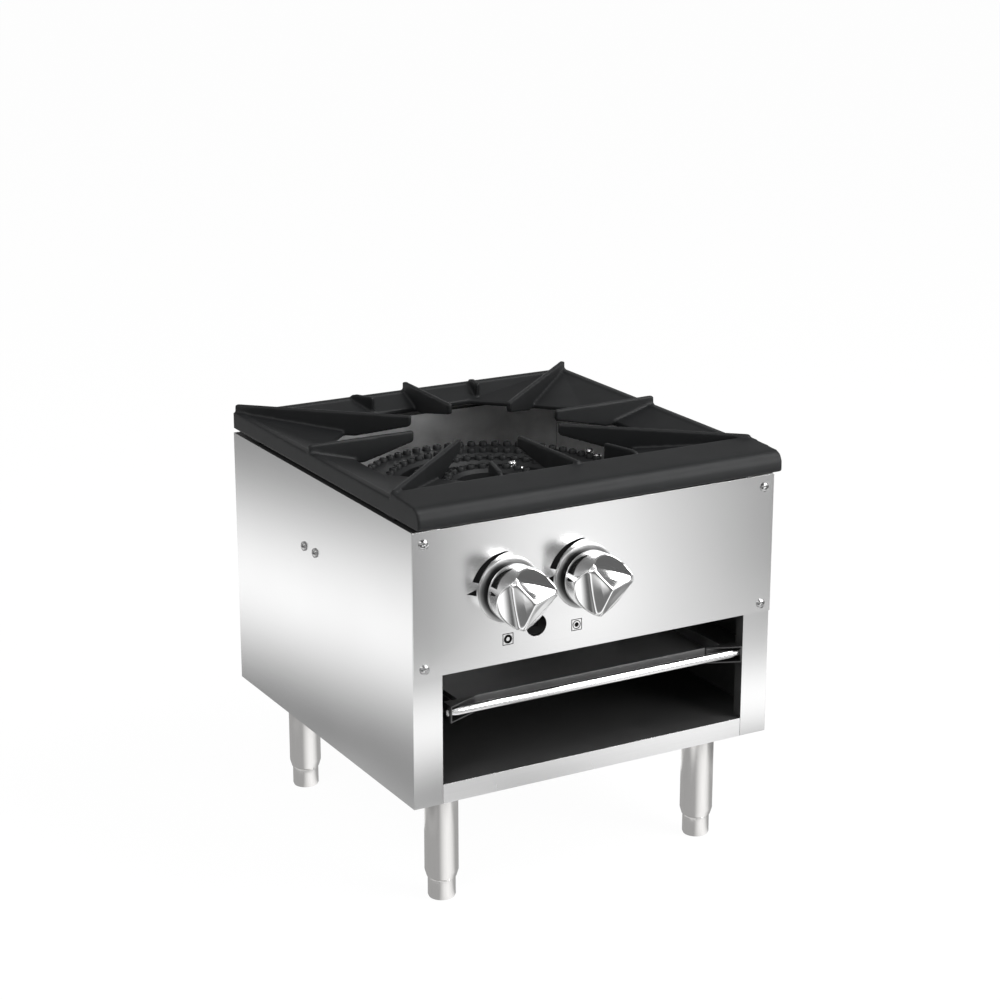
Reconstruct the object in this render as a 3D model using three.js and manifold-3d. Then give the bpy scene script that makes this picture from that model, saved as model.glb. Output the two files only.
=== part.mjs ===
// A stock pot range: a low gas cooker with one three-ring burner under a cast grate, on four legs.
// Millimetres. X is to the right, Y goes back from the front face, Z is up from the floor.
import * as THREE from "three";
import { mergeVertices } from "three/addons/utils/BufferGeometryUtils.js";
import Module from "manifold-3d";

const wasm = await Module();
wasm.setup();

// Body
const BODY_WIDTH = 457;
const BODY_DEPTH = 460;
const BODY_BOTTOM = 135;
const BODY_HEIGHT = 310;
const SHEET = 1.5;
const GAP = 0.3; // between pieces that touch
const SLACK = 1; // between neighbours that only pass each other
const GRID = 1 / 1024; // every corner lands on this step, so faces meant to be level are level

const POST_WIDTH = 35;
const POST_RETURN = 14;
const TOP_FLANGE = 22;
const BOTTOM_FLANGE = 15;
const BACK_FLANGE = 22;
const STRIP_HEIGHT = 22;
const PANEL_HEIGHT = 160.5;
const PANEL_RETURN = 18;
const SLOT_WIDTH = 6;
const SLOT_PITCH = 25;
const SLOT_REACH = 150;
const LOWER_SLOTS = [35, 80]; // above the body's bottom
const UPPER_SLOTS = [20, 60]; // under its top

// Screws
const SCREW_INSET = 13;
const SCREW_MARGIN = [10, 12.5]; // from the panel's bottom and top edges
const SCREW_HEAD = 5.5;
const SCREW_HEAD_HEIGHT = 2.6;
const SCREW_SHANK = 2;
const SCREW_LENGTH = 9;
const HEAD_SHOULDER = 0.45; // share of a head's height that is straight
const HEAD_FLAT = 0.6; // share of its radius that is flat on top
const SIDE_SCREW_OFFSETS = [-2, 27]; // behind the burner's centre
const SIDE_SCREW_DROP = 15; // under the burner support

// Knobs and valves
const KNOB_X = [-113.5, -19];
const KNOB_DROP = 79.5; // under the body's top
const KNOB_RADIUS = 33;
const KNOB_BACK = 9;
const KNOB_TAPER = 1.5;
const KNOB_SKIRT = 31;
const KNOB_FRONT = 58;
const KNOB_SHOULDER = [0.5, 14.5]; // in from the rim, and ahead of the skirt
// Share of the radius, and depth behind the tip.
const KNOB_DOME = [[0.91, 8], [0.79, 5], [0.6, 3.2], [0.24, 1]];
const KNOB_FACETS = [70, 190, 310]; // degrees from the right, turning upwards
const FACET_FALL = 0.5; // depth lost for each millimetre out from the axis
const CREST = 18.5; // from the axis: a facet turns to a scoop here
const SCOOP_HOLLOW = 60;
const SCOOP_STEPS = 5;
const KNOB_BORE = 22;
const BEZEL_RADIUS = 37;
const BEZEL_NECK = 22;
const BEZEL_DEPTH = 8;
const BEZEL_LIP = 1;
const BEZEL_FLARE = [[31, 2.4], [25, 5]];
const STEM_RADIUS = 4;
const STEM_IN_VALVE = 18;
const PANEL_HOLE = 9;
const VALVE_RADIUS = 13;
const VALVE_FRONT = 22;
const VALVE_BACK = 62;
const VALVE_NECK = 8;
const VALVE_STEP = 4;
const NIPPLE_RADIUS = 7;
const JET_HEX = 8;
const JET_LENGTH = 13;
const JET_NOZZLE = 8;
const JET_WAIST = [3, 5];
const JET_STANDOFF = 2.8;

// Gas line
const MANIFOLD_RADIUS = 10.7;
const MANIFOLD_Y = 48;
const MANIFOLD_DROP = 43.5; // under the knobs' axis
const MANIFOLD_END = 36.5; // past the left valve
const SUPPLY_X = 120;
const SUPPLY_BEND = 26;
const INLET_RADIUS = 13.3;
const INLET_INSIDE = 20;
const INLET_OUTSIDE = 25;
const INLET_BORE = 9.5;
const PIPE_WALL = 3;
const PIPE_BORE_DEPTH = 20;
const PILOT_HOLE_X = -79.5;
const PILOT_HOLE_DROP = 46.5;
const PILOT_HOLE_RADIUS = 12.5;
const PILOT_VALVE_WIDTH = 23;
const PILOT_VALVE_FRONT = 16;
const PILOT_SCREW = 4;
const PILOT_SCREW_REACH = 7;
const PILOT_TUBE_RADIUS = 2.4;
const PILOT_TUBE_Y = [32, 24];
const PILOT_BEND = 12;
const PILOT_BACK = 45; // behind the burner's centre
const PILOT_RADIUS = 4.5;
const PILOT_RISE = 4; // over the burner
const PILOT_TAB = 3;
const PILOT_HOOD = 8;

// Burners
const BURNER_Y = 240;
const BURNER_DROP = 35; // under the body's top
const BURNER_HEIGHT = 17;
const OUTER_RING = [112, 158];
const MIDDLE_RING = [80, 96];
const INNER_RING = [42, 60];
const RING_EDGE = 4;
const SPOKE_WIDTH = 14;
const BURNER_FOOT = 12;
const BURNER_FOOT_HEIGHT = 21;
const VENTURI_RADIUS = 15;
const VENTURI_BORE = 11;
const VENTURI_BORE_DEPTH = 34;
const VENTURI_BEND = 24;
const SHUTTER_WALL = 1.6;
const SHUTTER_DEPTH = 14;
const SHUTTER_HOLE = 9;
const SUPPORT_FLANGE = 22;
const SUPPORT_MARGIN = 10;

// Heat shields and cross rail
const SHIELD_INSET = 25.5;
const SHIELD_SKIRT = 11; // under the control panel
const SHIELD_BEHIND_RAIL = 6;
const SHIELD_REAR_INSET = 27;
const RAIL_AHEAD = 14;
const RAIL_BEHIND = 24;
const RAIL_LIP = 15;

// Drip tray, its handle and runners
const TRAY_SIDE_ROOM = 23.5;
const TRAY_FRONT = 12;
const TRAY_BACK_ROOM = 30;
const TRAY_DROP = 49; // under the control panel
const TRAY_HEIGHT = 13.5;
const HANDLE_RADIUS = 5;
const HANDLE_REACH = 11; // ahead of the tray
const HANDLE_RISE = 5; // over the tray's bottom
const HANDLE_TAPER = 9;
const HANDLE_TIP = 3.6;
const BRACKET_ROOM = 7.5;
const BRACKET_LEAF = 20.5;
const BRACKET_HEIGHT = 19;
const BRACKET_REACH = 18;
const BOLT_HEAD = 4.2;
const BOLT_HEAD_HEIGHT = 2.6;
const BOLT_SHANK = 2;
const BOLT_LENGTH = 12;
const RUNNER_SHELF = 20;
const RUNNER_DEPTH = 0.365; // of the space under the tray
const RUNNER_GUIDE = 10;
const RUNNER_FRONT = 22;
const RUNNER_BACK_ROOM = 10;
const TRAY_PLAY = 2;

// Legs
const LEG_INSET = 59;
const LEG_FROM_END = 52;
const LEG_RADIUS = 19;
const LEG_SHOULDER = 7;
const LEG_EDGE = 1;
const FOOT_HEIGHT = 25;
const FOOT_RADIUS = 15.6;
const FOOT_EDGE = 1;
const FOOT_SOLE = [2, 3]; // in from the side, and up from the floor
const FOOT_STEM = 8;
const FOOT_STEM_LENGTH = 70;
const LEG_BORE_DEPTH = 80;
const LEG_PLATE = 76;
const LEG_PLATE_THICK = 3;
const COLLAR_WALL = 3.5;
const COLLAR_HEIGHT = 14;

// Grate
const GRATE_LIFT = 5;
const RIM_HEIGHT = 20;
const RIM_WALL = 9;
const PLATE_THICK = 6;
const PLATE_DROP = 14;
const OPENING_Y = 250;
const OPENING_APOTHEM = 172;
const FIN_RISE = 10; // over the rim
const FIN_THICK = 6;
const FIN_FOOT = 1; // over the grate's bottom
const FIN_TIP_DEPTH = 14;
const FIN_TIP_ROUND = 6;
const FIN_ROOT_ROUND = 3;
const FIN_OVER_PLATE = 12;
const FIN_CENTRE = [-4, 250]; // the tips are measured from here
const FRONT_AND_BACK_TIPS = [-80, 83];
const SIDE_TIP = [94, -2];
const CORNER_TIPS = [[65.5, -58], [65.5, 58]];
const RIB_THICK = 5;
const RIB_RISE = 5; // over the rim
const RIB_FOOT = 4; // over the grate's bottom
const RIB_TIP_ROUND = 2;
const RIB_ROOT_ROUND = 12;
const BACK_RIB_ROOTS = [-77, 90];
const BACK_RIB_TIPS = [-60, 84];
const BACK_RIB_REACH = 2; // short of the opening
const FRONT_RIB = [[88, 60], [74, 111]];
const ROOT_INSET = 2.5; // where a blade meets the rim askew
const SQUARE_INSET = 0.5; // where it meets it square
const NOSE_FRONT = -14.5;
const NOSE_BACK = 50;
const NOSE_DROP = 3; // under the fins
const NOSE_SLOPE = 3;
const NOSE_ROUND = 17;
const NOSE_CHAMFER = 3;
const PAD_SIZE = 22;
const PAD_FROM_END = 45;
const PAD_INSET = 3;

// What follows from them
const BODY_TOP = BODY_BOTTOM + BODY_HEIGHT;
const HALF = BODY_WIDTH / 2;
const INNER = HALF - SHEET - GAP;
const POST_FRONT = SHEET + GAP;
const OPENING_HALF = HALF - POST_WIDTH;
const FLOOR_TOP = BODY_BOTTOM + STRIP_HEIGHT;
const BACK_PANEL_Y = BODY_DEPTH - 2 * SHEET - GAP;
const BACK_INNER = BACK_PANEL_Y - GAP;
const UNDER_TOP = BODY_TOP - SHEET - GAP;
const PANEL_TOP = BODY_TOP - SHEET;
const PANEL_BOTTOM = PANEL_TOP - PANEL_HEIGHT;
const PANEL_SCREW_Z = [PANEL_BOTTOM + SCREW_MARGIN[0], PANEL_TOP - SCREW_MARGIN[1]];
const KNOB_Z = BODY_TOP - KNOB_DROP;
const MANIFOLD_Z = KNOB_Z - MANIFOLD_DROP;
const MANIFOLD_TOP = MANIFOLD_Z + MANIFOLD_RADIUS;
const MANIFOLD_BOTTOM = MANIFOLD_Z - MANIFOLD_RADIUS;
const MANIFOLD_LEFT = KNOB_X[0] - MANIFOLD_END;
const INLET_FRONT = BODY_DEPTH - INLET_INSIDE;
const INLET_BACK = BODY_DEPTH + INLET_OUTSIDE;
const BURNER_TOP = BODY_TOP - BURNER_DROP;
const BURNER_BOTTOM = BURNER_TOP - BURNER_HEIGHT;
const SUPPORT_TOP = BURNER_BOTTOM - BURNER_FOOT_HEIGHT;
const SIDE_SCREW_Y = SIDE_SCREW_OFFSETS.map((offset) => BURNER_Y + offset);
const SIDE_SCREW_Z = SUPPORT_TOP - SIDE_SCREW_DROP;
const SUPPORT_Y = [SIDE_SCREW_Y[0] - SUPPORT_MARGIN, SIDE_SCREW_Y[1] + SUPPORT_MARGIN];
const SUPPORT_MIDDLE = (SUPPORT_Y[0] + SUPPORT_Y[1]) / 2;
const JET_TIP = VALVE_BACK + GAP + JET_LENGTH + JET_NOZZLE;
const VENTURI_MOUTH = JET_TIP + JET_STANDOFF + SHUTTER_WALL + GAP;
const PILOT_HOLE_Z = KNOB_Z - PILOT_HOLE_DROP;
const PILOT_TUBE_Z = (MANIFOLD_TOP + KNOB_Z - VALVE_RADIUS) / 2;
const PILOT_Y = BURNER_Y + PILOT_BACK;
const PILOT_CIRCLES = [(INNER_RING[1] + MIDDLE_RING[0]) / 2, OUTER_RING[1] + 2 * PILOT_RADIUS + SLACK];
const PILOT_X = PILOT_CIRCLES.map((radius) => Math.sqrt(radius ** 2 - PILOT_BACK ** 2));
const PILOT_TOP = BURNER_TOP + PILOT_RISE;
const RAIL_Y = [MANIFOLD_Y - RAIL_AHEAD, MANIFOLD_Y + RAIL_BEHIND];
const SHIELD_X = HALF - SHIELD_INSET;
const SHIELD_BOTTOM = PANEL_BOTTOM - SHIELD_SKIRT;
const SHIELD_FRONT = RAIL_Y[1] + SHIELD_BEHIND_RAIL;
const SHIELD_REAR_Y = BODY_DEPTH - SHIELD_REAR_INSET;
const TRAY_HALF = OPENING_HALF - TRAY_SIDE_ROOM;
const TRAY_BACK = BODY_DEPTH - TRAY_BACK_ROOM;
const TRAY_BOTTOM = PANEL_BOTTOM - TRAY_DROP;
const RUNNER_TOP = TRAY_BOTTOM - GAP;
const RUNNER_BOTTOM = RUNNER_TOP - RUNNER_DEPTH * (RUNNER_TOP - FLOOR_TOP);
const HANDLE_Y = TRAY_FRONT - HANDLE_REACH;
const HANDLE_Z = TRAY_BOTTOM + HANDLE_RISE;
const BRACKET_X = OPENING_HALF - BRACKET_ROOM;
const BRACKET_Z = [TRAY_BOTTOM - HANDLE_RISE, TRAY_BOTTOM - HANDLE_RISE + BRACKET_HEIGHT];
const LEG_X = HALF - LEG_INSET;
const LEG_Y = [LEG_FROM_END, BODY_DEPTH - LEG_FROM_END];
const LEG_TOP = FLOOR_TOP - SHEET - GAP - LEG_PLATE_THICK - GAP;
const GRATE_BOTTOM = BODY_TOP + GRATE_LIFT;
const RIM_TOP = GRATE_BOTTOM + RIM_HEIGHT;
const FIN_TOP = RIM_TOP + FIN_RISE;
const NOSE_TOP = FIN_TOP - NOSE_DROP;
const CENTRE_Y = (INLET_BACK - KNOB_FRONT) / 2; // of the overall box

// Finishes
const STEEL = { color: 0xc9cbcd, roughness: 0.25, metalness: 1 };
const DARK_STEEL = { color: 0x6d6f72, roughness: 0.45, metalness: 1 };
const CHROME = { color: 0xe2e3e5, roughness: 0.08, metalness: 1 };
const IRON = { color: 0x2b2b2d, roughness: 0.8, metalness: 0.2 };
const BRASS = { color: 0xb08d4b, roughness: 0.4, metalness: 1 };

// A closed geometry as a solid that can be joined and cut.
function solid(geometry) {
  const bare = geometry.index ? geometry.toNonIndexed() : geometry.clone();
  bare.deleteAttribute("normal");
  bare.deleteAttribute("uv");
  const merged = mergeVertices(bare, GRID / 4);
  return new wasm.Manifold(
    new wasm.Mesh({
      numProp: 3,
      vertProperties: merged.attributes.position.array.map((value) => Math.round(value / GRID) * GRID),
      triVerts: new Uint32Array(merged.index.array),
    }),
  );
}

function geometryOf(body) {
  const made = body.getMesh();
  const geometry = new THREE.BufferGeometry();
  const position = new Float32Array(made.numVert * 3);
  for (let i = 0; i < made.numVert; i++)
    position.set(made.vertProperties.subarray(i * made.numProp, i * made.numProp + 3), i * 3);
  geometry.setAttribute("position", new THREE.BufferAttribute(position, 3));
  geometry.setIndex(new THREE.BufferAttribute(made.triVerts, 1));
  geometry.computeVertexNormals();
  return geometry;
}

// Joins and cuts leave stray corners in flat faces. This takes them out again.
const cleaned = (body) => body.asOriginal().simplify(3 * GRID);
const joined = (bodies) => cleaned(bodies.reduce((sum, body) => sum.add(body)));
const cut = (body, tools) => cleaned(tools.reduce((rest, tool) => rest.subtract(tool), body));

// A block between two values on each axis, in either order.
function block([x0, x1], [y0, y1], [z0, z1]) {
  const box = new THREE.BoxGeometry(Math.abs(x1 - x0), Math.abs(y1 - y0), Math.abs(z1 - z0));
  return solid(box.translate((x0 + x1) / 2, (y0 + y1) / 2, (z0 + z1) / 2));
}

// A block on one side of the body: its X values are distances from the middle.
const sided = (side, [a, b], y, z) => block([side * a, side * b], y, z);

// [radius, height] pairs turned about the Z axis.
function turned(profile, segments = 24) {
  const lathe = new THREE.LatheGeometry(
    profile.map(([r, h]) => new THREE.Vector2(r, h)),
    segments,
  );
  return lathe.rotateX(Math.PI / 2);
}

// The same, about an axis that points to the front from (x, z): heights become distances forward.
const turnedForward = (profile, x, z, segments) =>
  solid(turned(profile, segments).rotateX(Math.PI / 2).translate(x, 0, z));

const rod = (radius, from, to, segments = 16) =>
  solid(turned([[0, from], [radius, from], [radius, to], [0, to]], segments));

// A round rod along Y.
const rodY = (radius, x, z, [y0, y1], segments = 16) =>
  solid(
    turned([[0, -y1], [radius, -y1], [radius, -y0], [0, -y0]], segments)
      .rotateX(Math.PI / 2)
      .translate(x, 0, z),
  );

// A round rod along X.
const rodX = (radius, y, z, [x0, x1], segments = 16) =>
  solid(
    turned([[0, x0], [radius, x0], [radius, x1], [0, x1]], segments)
      .rotateY(Math.PI / 2)
      .translate(0, y, z),
  );

// A path for a bar: one section at each point, square to the way the path runs there.
class BarPath extends THREE.Curve {
  constructor(points) {
    super();
    this.points = points;
  }

  indexAt(u) {
    return Math.round(u * (this.points.length - 1));
  }

  getPointAt(u) {
    return this.points[this.indexAt(u)].clone();
  }

  getTangentAt(u) {
    const i = this.indexAt(u);
    const before = this.points[Math.max(i - 1, 0)];
    const after = this.points[Math.min(i + 1, this.points.length - 1)];
    return after.clone().sub(before).normalize();
  }
}

// A round bar that runs straight between corners and turns each of them in a bend.
function bentBar(corners, radius, bend, sides = 12) {
  const at = corners.map((corner) => new THREE.Vector3(...corner));
  const points = [at[0]];
  for (let i = 1; i < at.length - 1; i++) {
    const into = at[i].clone().addScaledVector(at[i - 1].clone().sub(at[i]).normalize(), bend);
    const out = at[i].clone().addScaledVector(at[i + 1].clone().sub(at[i]).normalize(), bend);
    points.push(...new THREE.QuadraticBezierCurve3(into, at[i], out).getPoints(4));
  }
  points.push(at[at.length - 1]);
  const section = new THREE.Shape();
  for (let i = 0; i < sides; i++) {
    const angle = (2 * Math.PI * (i + 0.5)) / sides;
    section[i ? "lineTo" : "moveTo"](radius * Math.cos(angle), radius * Math.sin(angle));
  }
  section.closePath();
  const sweep = { steps: points.length - 1, extrudePath: new BarPath(points), bevelEnabled: false };
  return solid(new THREE.ExtrudeGeometry(section, sweep));
}

function mesh(name, body, finish, position = [0, 0, 0]) {
  const made = new THREE.Mesh(geometryOf(body), new THREE.MeshStandardMaterial(finish));
  made.name = name;
  made.position.set(...position);
  return made;
}

function group(...members) {
  const made = new THREE.Group();
  made.add(...members);
  return made;
}

const SIDES = [["left", -1], ["right", 1]];

// A screw or bolt hole along X, between two values in either order.
const screwHole = (y, z, [a, b]) => rodX(SCREW_SHANK + GAP, y, z, [Math.min(a, b), Math.max(a, b)], 8);

// Casing

function sidePanel(side) {
  const depth = [POST_FRONT, BODY_DEPTH];
  const height = [BODY_BOTTOM, BODY_TOP];
  const post = [POST_FRONT, POST_FRONT + SHEET];
  const postReturn = [POST_FRONT, POST_FRONT + POST_RETURN];
  const body = joined([
    sided(side, [HALF - SHEET, HALF], depth, height),
    sided(side, [OPENING_HALF, HALF], post, height),
    sided(side, [OPENING_HALF, OPENING_HALF + SHEET], postReturn, [FLOOR_TOP + GAP, BODY_TOP]),
    sided(side, [HALF - TOP_FLANGE, HALF], depth, [BODY_TOP - SHEET, BODY_TOP]),
    sided(side, [HALF - BOTTOM_FLANGE, HALF], depth, [BODY_BOTTOM, BODY_BOTTOM + SHEET]),
    sided(side, [HALF - BACK_FLANGE, HALF], [BODY_DEPTH - SHEET, BODY_DEPTH], height),
  ]);
  const wall = [side * (HALF - 2 * SHEET), side * (HALF + SHEET)];
  const sideHoles = SIDE_SCREW_Y.map((y) => screwHole(y, SIDE_SCREW_Z, wall));
  const postHoles = PANEL_SCREW_Z.map((z) =>
    rodY(SCREW_SHANK + GAP, side * (HALF - SCREW_INSET), z, [0, 2 * POST_FRONT + SHEET], 8),
  );
  return cut(body, [...sideHoles, ...postHoles]);
}

function controlPanel() {
  const returns = OPENING_HALF - SLACK;
  const body = joined([
    block([-HALF, HALF], [0, SHEET], [PANEL_BOTTOM, PANEL_TOP]),
    block([-returns, returns], [0, PANEL_RETURN], [PANEL_TOP - SHEET, PANEL_TOP]),
    block([-returns, returns], [0, PANEL_RETURN], [PANEL_BOTTOM, PANEL_BOTTOM + SHEET]),
  ]);
  const through = [-SHEET, 2 * SHEET];
  const stems = KNOB_X.map((x) => rodY(PANEL_HOLE, x, KNOB_Z, through, 16));
  const pilot = rodY(PILOT_HOLE_RADIUS, PILOT_HOLE_X, PILOT_HOLE_Z, through, 28);
  const screws = SIDES.flatMap(([, side]) =>
    PANEL_SCREW_Z.map((z) => rodY(SCREW_SHANK + GAP, side * (HALF - SCREW_INSET), z, through, 8)),
  );
  return cut(body, [...stems, pilot, ...screws]);
}

function backPanel() {
  const slots = [];
  const lower = LOWER_SLOTS.map((rise) => BODY_BOTTOM + rise);
  const upper = UPPER_SLOTS.map((drop) => BODY_TOP - drop);
  for (const row of [lower, upper])
    for (let x = -SLOT_REACH; x <= SLOT_REACH; x += SLOT_PITCH)
      slots.push(block([x - SLOT_WIDTH / 2, x + SLOT_WIDTH / 2], [BACK_INNER, BODY_DEPTH], row));
  const half = HALF - TOP_FLANGE - SLACK;
  const sheet = [BACK_PANEL_Y, BACK_PANEL_Y + SHEET];
  const body = joined([
    block([-INNER, INNER], sheet, [BODY_BOTTOM + SHEET + GAP, UNDER_TOP]),
    block([-half, half], sheet, [UNDER_TOP - SHEET, BODY_TOP]),
    block([-half, half], [BACK_PANEL_Y - TOP_FLANGE, sheet[1]], [BODY_TOP - SHEET, BODY_TOP]),
  ]);
  const inlet = rodY(INLET_RADIUS + GAP, SUPPLY_X, MANIFOLD_Z, [BACK_PANEL_Y - SHEET, BODY_DEPTH], 16);
  return cut(body, [...slots, inlet]);
}

function cabinetFloor() {
  const between = OPENING_HALF - GAP;
  const behindPosts = POST_FRONT + SHEET + GAP;
  const flange = [BODY_BOTTOM + SHEET + GAP, FLOOR_TOP];
  return joined([
    block([-between, between], [POST_FRONT, BACK_INNER], [FLOOR_TOP - SHEET, FLOOR_TOP]),
    block([-INNER, INNER], [behindPosts, BACK_INNER], [FLOOR_TOP - SHEET, FLOOR_TOP]),
    block([-between, between], [POST_FRONT, POST_FRONT + SHEET], [BODY_BOTTOM, FLOOR_TOP]),
    block([-INNER, INNER], [BACK_INNER - SHEET, BACK_INNER], flange),
    ...SIDES.map(([, side]) => sided(side, [INNER - SHEET, INNER], [behindPosts, BACK_INNER], flange)),
  ]);
}

function screw() {
  const profile = [
    [0, -SCREW_LENGTH],
    [SCREW_SHANK, -SCREW_LENGTH],
    [SCREW_SHANK, 0],
    [SCREW_HEAD, 0],
    [SCREW_HEAD, SCREW_HEAD_HEIGHT * HEAD_SHOULDER],
    [SCREW_HEAD * HEAD_FLAT, SCREW_HEAD_HEIGHT],
    [0, SCREW_HEAD_HEIGHT],
  ];
  return turned(profile, 8);
}

function casing() {
  const members = SIDES.map(([name, side]) => mesh(`${name}_side_panel`, sidePanel(side), STEEL));
  members.push(mesh("control_panel", controlPanel(), STEEL));
  members.push(mesh("back_panel", backPanel(), STEEL));
  members.push(mesh("cabinet_floor", cabinetFloor(), DARK_STEEL));
  for (const [name, side] of SIDES) {
    ["lower", "upper"].forEach((level, i) => {
      const body = solid(screw().rotateX(Math.PI / 2));
      const place = [side * (HALF - SCREW_INSET), -GAP, PANEL_SCREW_Z[i]];
      members.push(mesh(`panel_screw_${level}_${name}`, body, CHROME, place));
    });
    SIDE_SCREW_Y.forEach((y, i) => {
      const body = solid(screw().rotateY((side * Math.PI) / 2));
      const place = [side * (HALF + GAP), y, SIDE_SCREW_Z];
      members.push(mesh(`side_screw_${name}_${i + 1}`, body, CHROME, place));
    });
  }
  return group(...members);
}

// Inside the casing

function sideShield(side) {
  const length = [SHIELD_FRONT, SHIELD_REAR_Y - GAP];
  const body = joined([
    sided(side, [SHIELD_X, SHIELD_X + SHEET], length, [SHIELD_BOTTOM, UNDER_TOP]),
    sided(side, [SHIELD_X, INNER], length, [UNDER_TOP - SHEET, UNDER_TOP]),
  ]);
  const notch = sided(
    side,
    [SHIELD_X - SHEET, SHIELD_X + 2 * SHEET],
    [SUPPORT_Y[0] - SLACK, SUPPORT_Y[1] + SLACK],
    [SHIELD_BOTTOM - SLACK, SUPPORT_TOP + SLACK],
  );
  return cut(body, [notch]);
}

function rearShield() {
  const body = joined([
    block([-SHIELD_X, SHIELD_X], [SHIELD_REAR_Y, SHIELD_REAR_Y + SHEET], [SHIELD_BOTTOM, UNDER_TOP]),
    block([-SHIELD_X, SHIELD_X], [SHIELD_REAR_Y, BACK_INNER], [UNDER_TOP - SHEET, UNDER_TOP]),
  ]);
  const through = [SHIELD_REAR_Y - SHEET, SHIELD_REAR_Y + 2 * SHEET];
  return cut(body, [rodY(MANIFOLD_RADIUS + SLACK, SUPPLY_X, MANIFOLD_Z, through, 16)]);
}

// A channel across the body: its ends are screwed to the side panels and the burners stand on it.
function burnerSupport() {
  const low = SUPPORT_TOP - SUPPORT_FLANGE;
  const body = joined([
    block([-INNER, INNER], SUPPORT_Y, [SUPPORT_TOP - SHEET, SUPPORT_TOP]),
    block([-INNER, INNER], [SUPPORT_Y[0], SUPPORT_Y[0] + SHEET], [low, SUPPORT_TOP]),
    block([-INNER, INNER], [SUPPORT_Y[1] - SHEET, SUPPORT_Y[1]], [low, SUPPORT_TOP]),
    ...SIDES.map(([, side]) => sided(side, [INNER - SHEET, INNER], SUPPORT_Y, [low, SUPPORT_TOP])),
  ]);
  return cut(
    body,
    SIDE_SCREW_Y.flatMap((y) =>
      SIDES.map(([, side]) => screwHole(y, SIDE_SCREW_Z, [side * (INNER - 2 * SHEET), side * HALF])),
    ),
  );
}

// An angle across the front that carries the gas manifold.
function crossRail() {
  const top = MANIFOLD_BOTTOM - GAP;
  const height = [top - RAIL_LIP, top];
  return joined([
    block([-INNER, INNER], RAIL_Y, [top - SHEET, top]),
    block([-INNER, INNER], [RAIL_Y[0], RAIL_Y[0] + SHEET], height),
    ...SIDES.map(([, side]) => sided(side, [INNER - SHEET, INNER], RAIL_Y, height)),
  ]);
}

function inside() {
  return group(
    ...SIDES.map(([name, side]) => mesh(`${name}_heat_shield`, sideShield(side), STEEL)),
    mesh("rear_heat_shield", rearShield(), STEEL),
    mesh("burner_support", burnerSupport(), DARK_STEEL),
    mesh("front_cross_rail", crossRail(), DARK_STEEL),
  );
}

// Burners, about their own centre

function burnerRing([inner, outer]) {
  const profile = [
    [inner, BURNER_BOTTOM],
    [outer, BURNER_BOTTOM],
    [outer, BURNER_TOP - RING_EDGE],
    [outer - RING_EDGE, BURNER_TOP],
    [inner + RING_EDGE, BURNER_TOP],
    [inner, BURNER_TOP - RING_EDGE],
    [inner, BURNER_BOTTOM],
  ];
  return solid(turned(profile, 36));
}

const middleOf = ([inner, outer]) => (inner + outer) / 2;

// The mixing tube: straight back from the mouth behind the valve, then up into the ring.
function venturi(x, ring) {
  const reach = -Math.sqrt(middleOf(ring) ** 2 - x ** 2);
  const mouth = VENTURI_MOUTH - BURNER_Y;
  const corners = [[x, mouth, KNOB_Z], [x, reach, KNOB_Z], [x, reach, BURNER_TOP - RING_EDGE]];
  const tube = bentBar(corners, VENTURI_RADIUS, VENTURI_BEND);
  return cut(tube, [rodY(VENTURI_BORE, x, KNOB_Z, [mouth - SLACK, mouth + VENTURI_BORE_DEPTH], 12)]);
}

function burnerFeet(radius) {
  const y = SUPPORT_MIDDLE - BURNER_Y;
  const half = BURNER_FOOT / 2;
  const height = [SUPPORT_TOP + GAP, BURNER_BOTTOM + RING_EDGE];
  return SIDES.map(([, side]) => sided(side, [radius - half, radius + half], [y - half, y + half], height));
}

function outerBurner() {
  const feet = burnerFeet(middleOf(OUTER_RING));
  return joined([burnerRing(OUTER_RING), venturi(KNOB_X[0], OUTER_RING), ...feet]);
}

function innerBurner() {
  const spoke = [middleOf(INNER_RING), middleOf(MIDDLE_RING)];
  const level = [BURNER_BOTTOM, BURNER_TOP - RING_EDGE];
  const width = [-SPOKE_WIDTH / 2, SPOKE_WIDTH / 2];
  return joined([
    burnerRing(MIDDLE_RING),
    burnerRing(INNER_RING),
    ...SIDES.flatMap(([, side]) => [
      sided(side, spoke, width, level),
      block(width, spoke.map((r) => side * r), level),
    ]),
    venturi(KNOB_X[1], MIDDLE_RING),
    ...burnerFeet(middleOf(MIDDLE_RING)),
  ]);
}

function airShutter(x) {
  const sleeve = VENTURI_RADIUS + GAP;
  const face = VENTURI_MOUTH - GAP;
  const body = rodY(sleeve + SHUTTER_WALL, x, KNOB_Z, [face - SHUTTER_WALL, face + SHUTTER_DEPTH], 16);
  return cut(body, [
    rodY(sleeve + SHUTTER_WALL / 4, x, KNOB_Z, [face, face + 2 * SHUTTER_DEPTH], 16),
    rodY(SHUTTER_HOLE, x, KNOB_Z, [face - SHUTTER_DEPTH, face + SLACK], 12),
  ]);
}

function burners() {
  const rings = group(mesh("outer_burner", outerBurner(), IRON), mesh("inner_burner", innerBurner(), IRON));
  rings.position.y = BURNER_Y;
  const shutters = ["outer", "inner"].map((name, i) =>
    mesh(`air_shutter_${name}`, airShutter(KNOB_X[i]), DARK_STEEL),
  );
  return group(rings, ...shutters);
}

// Gas line

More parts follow.
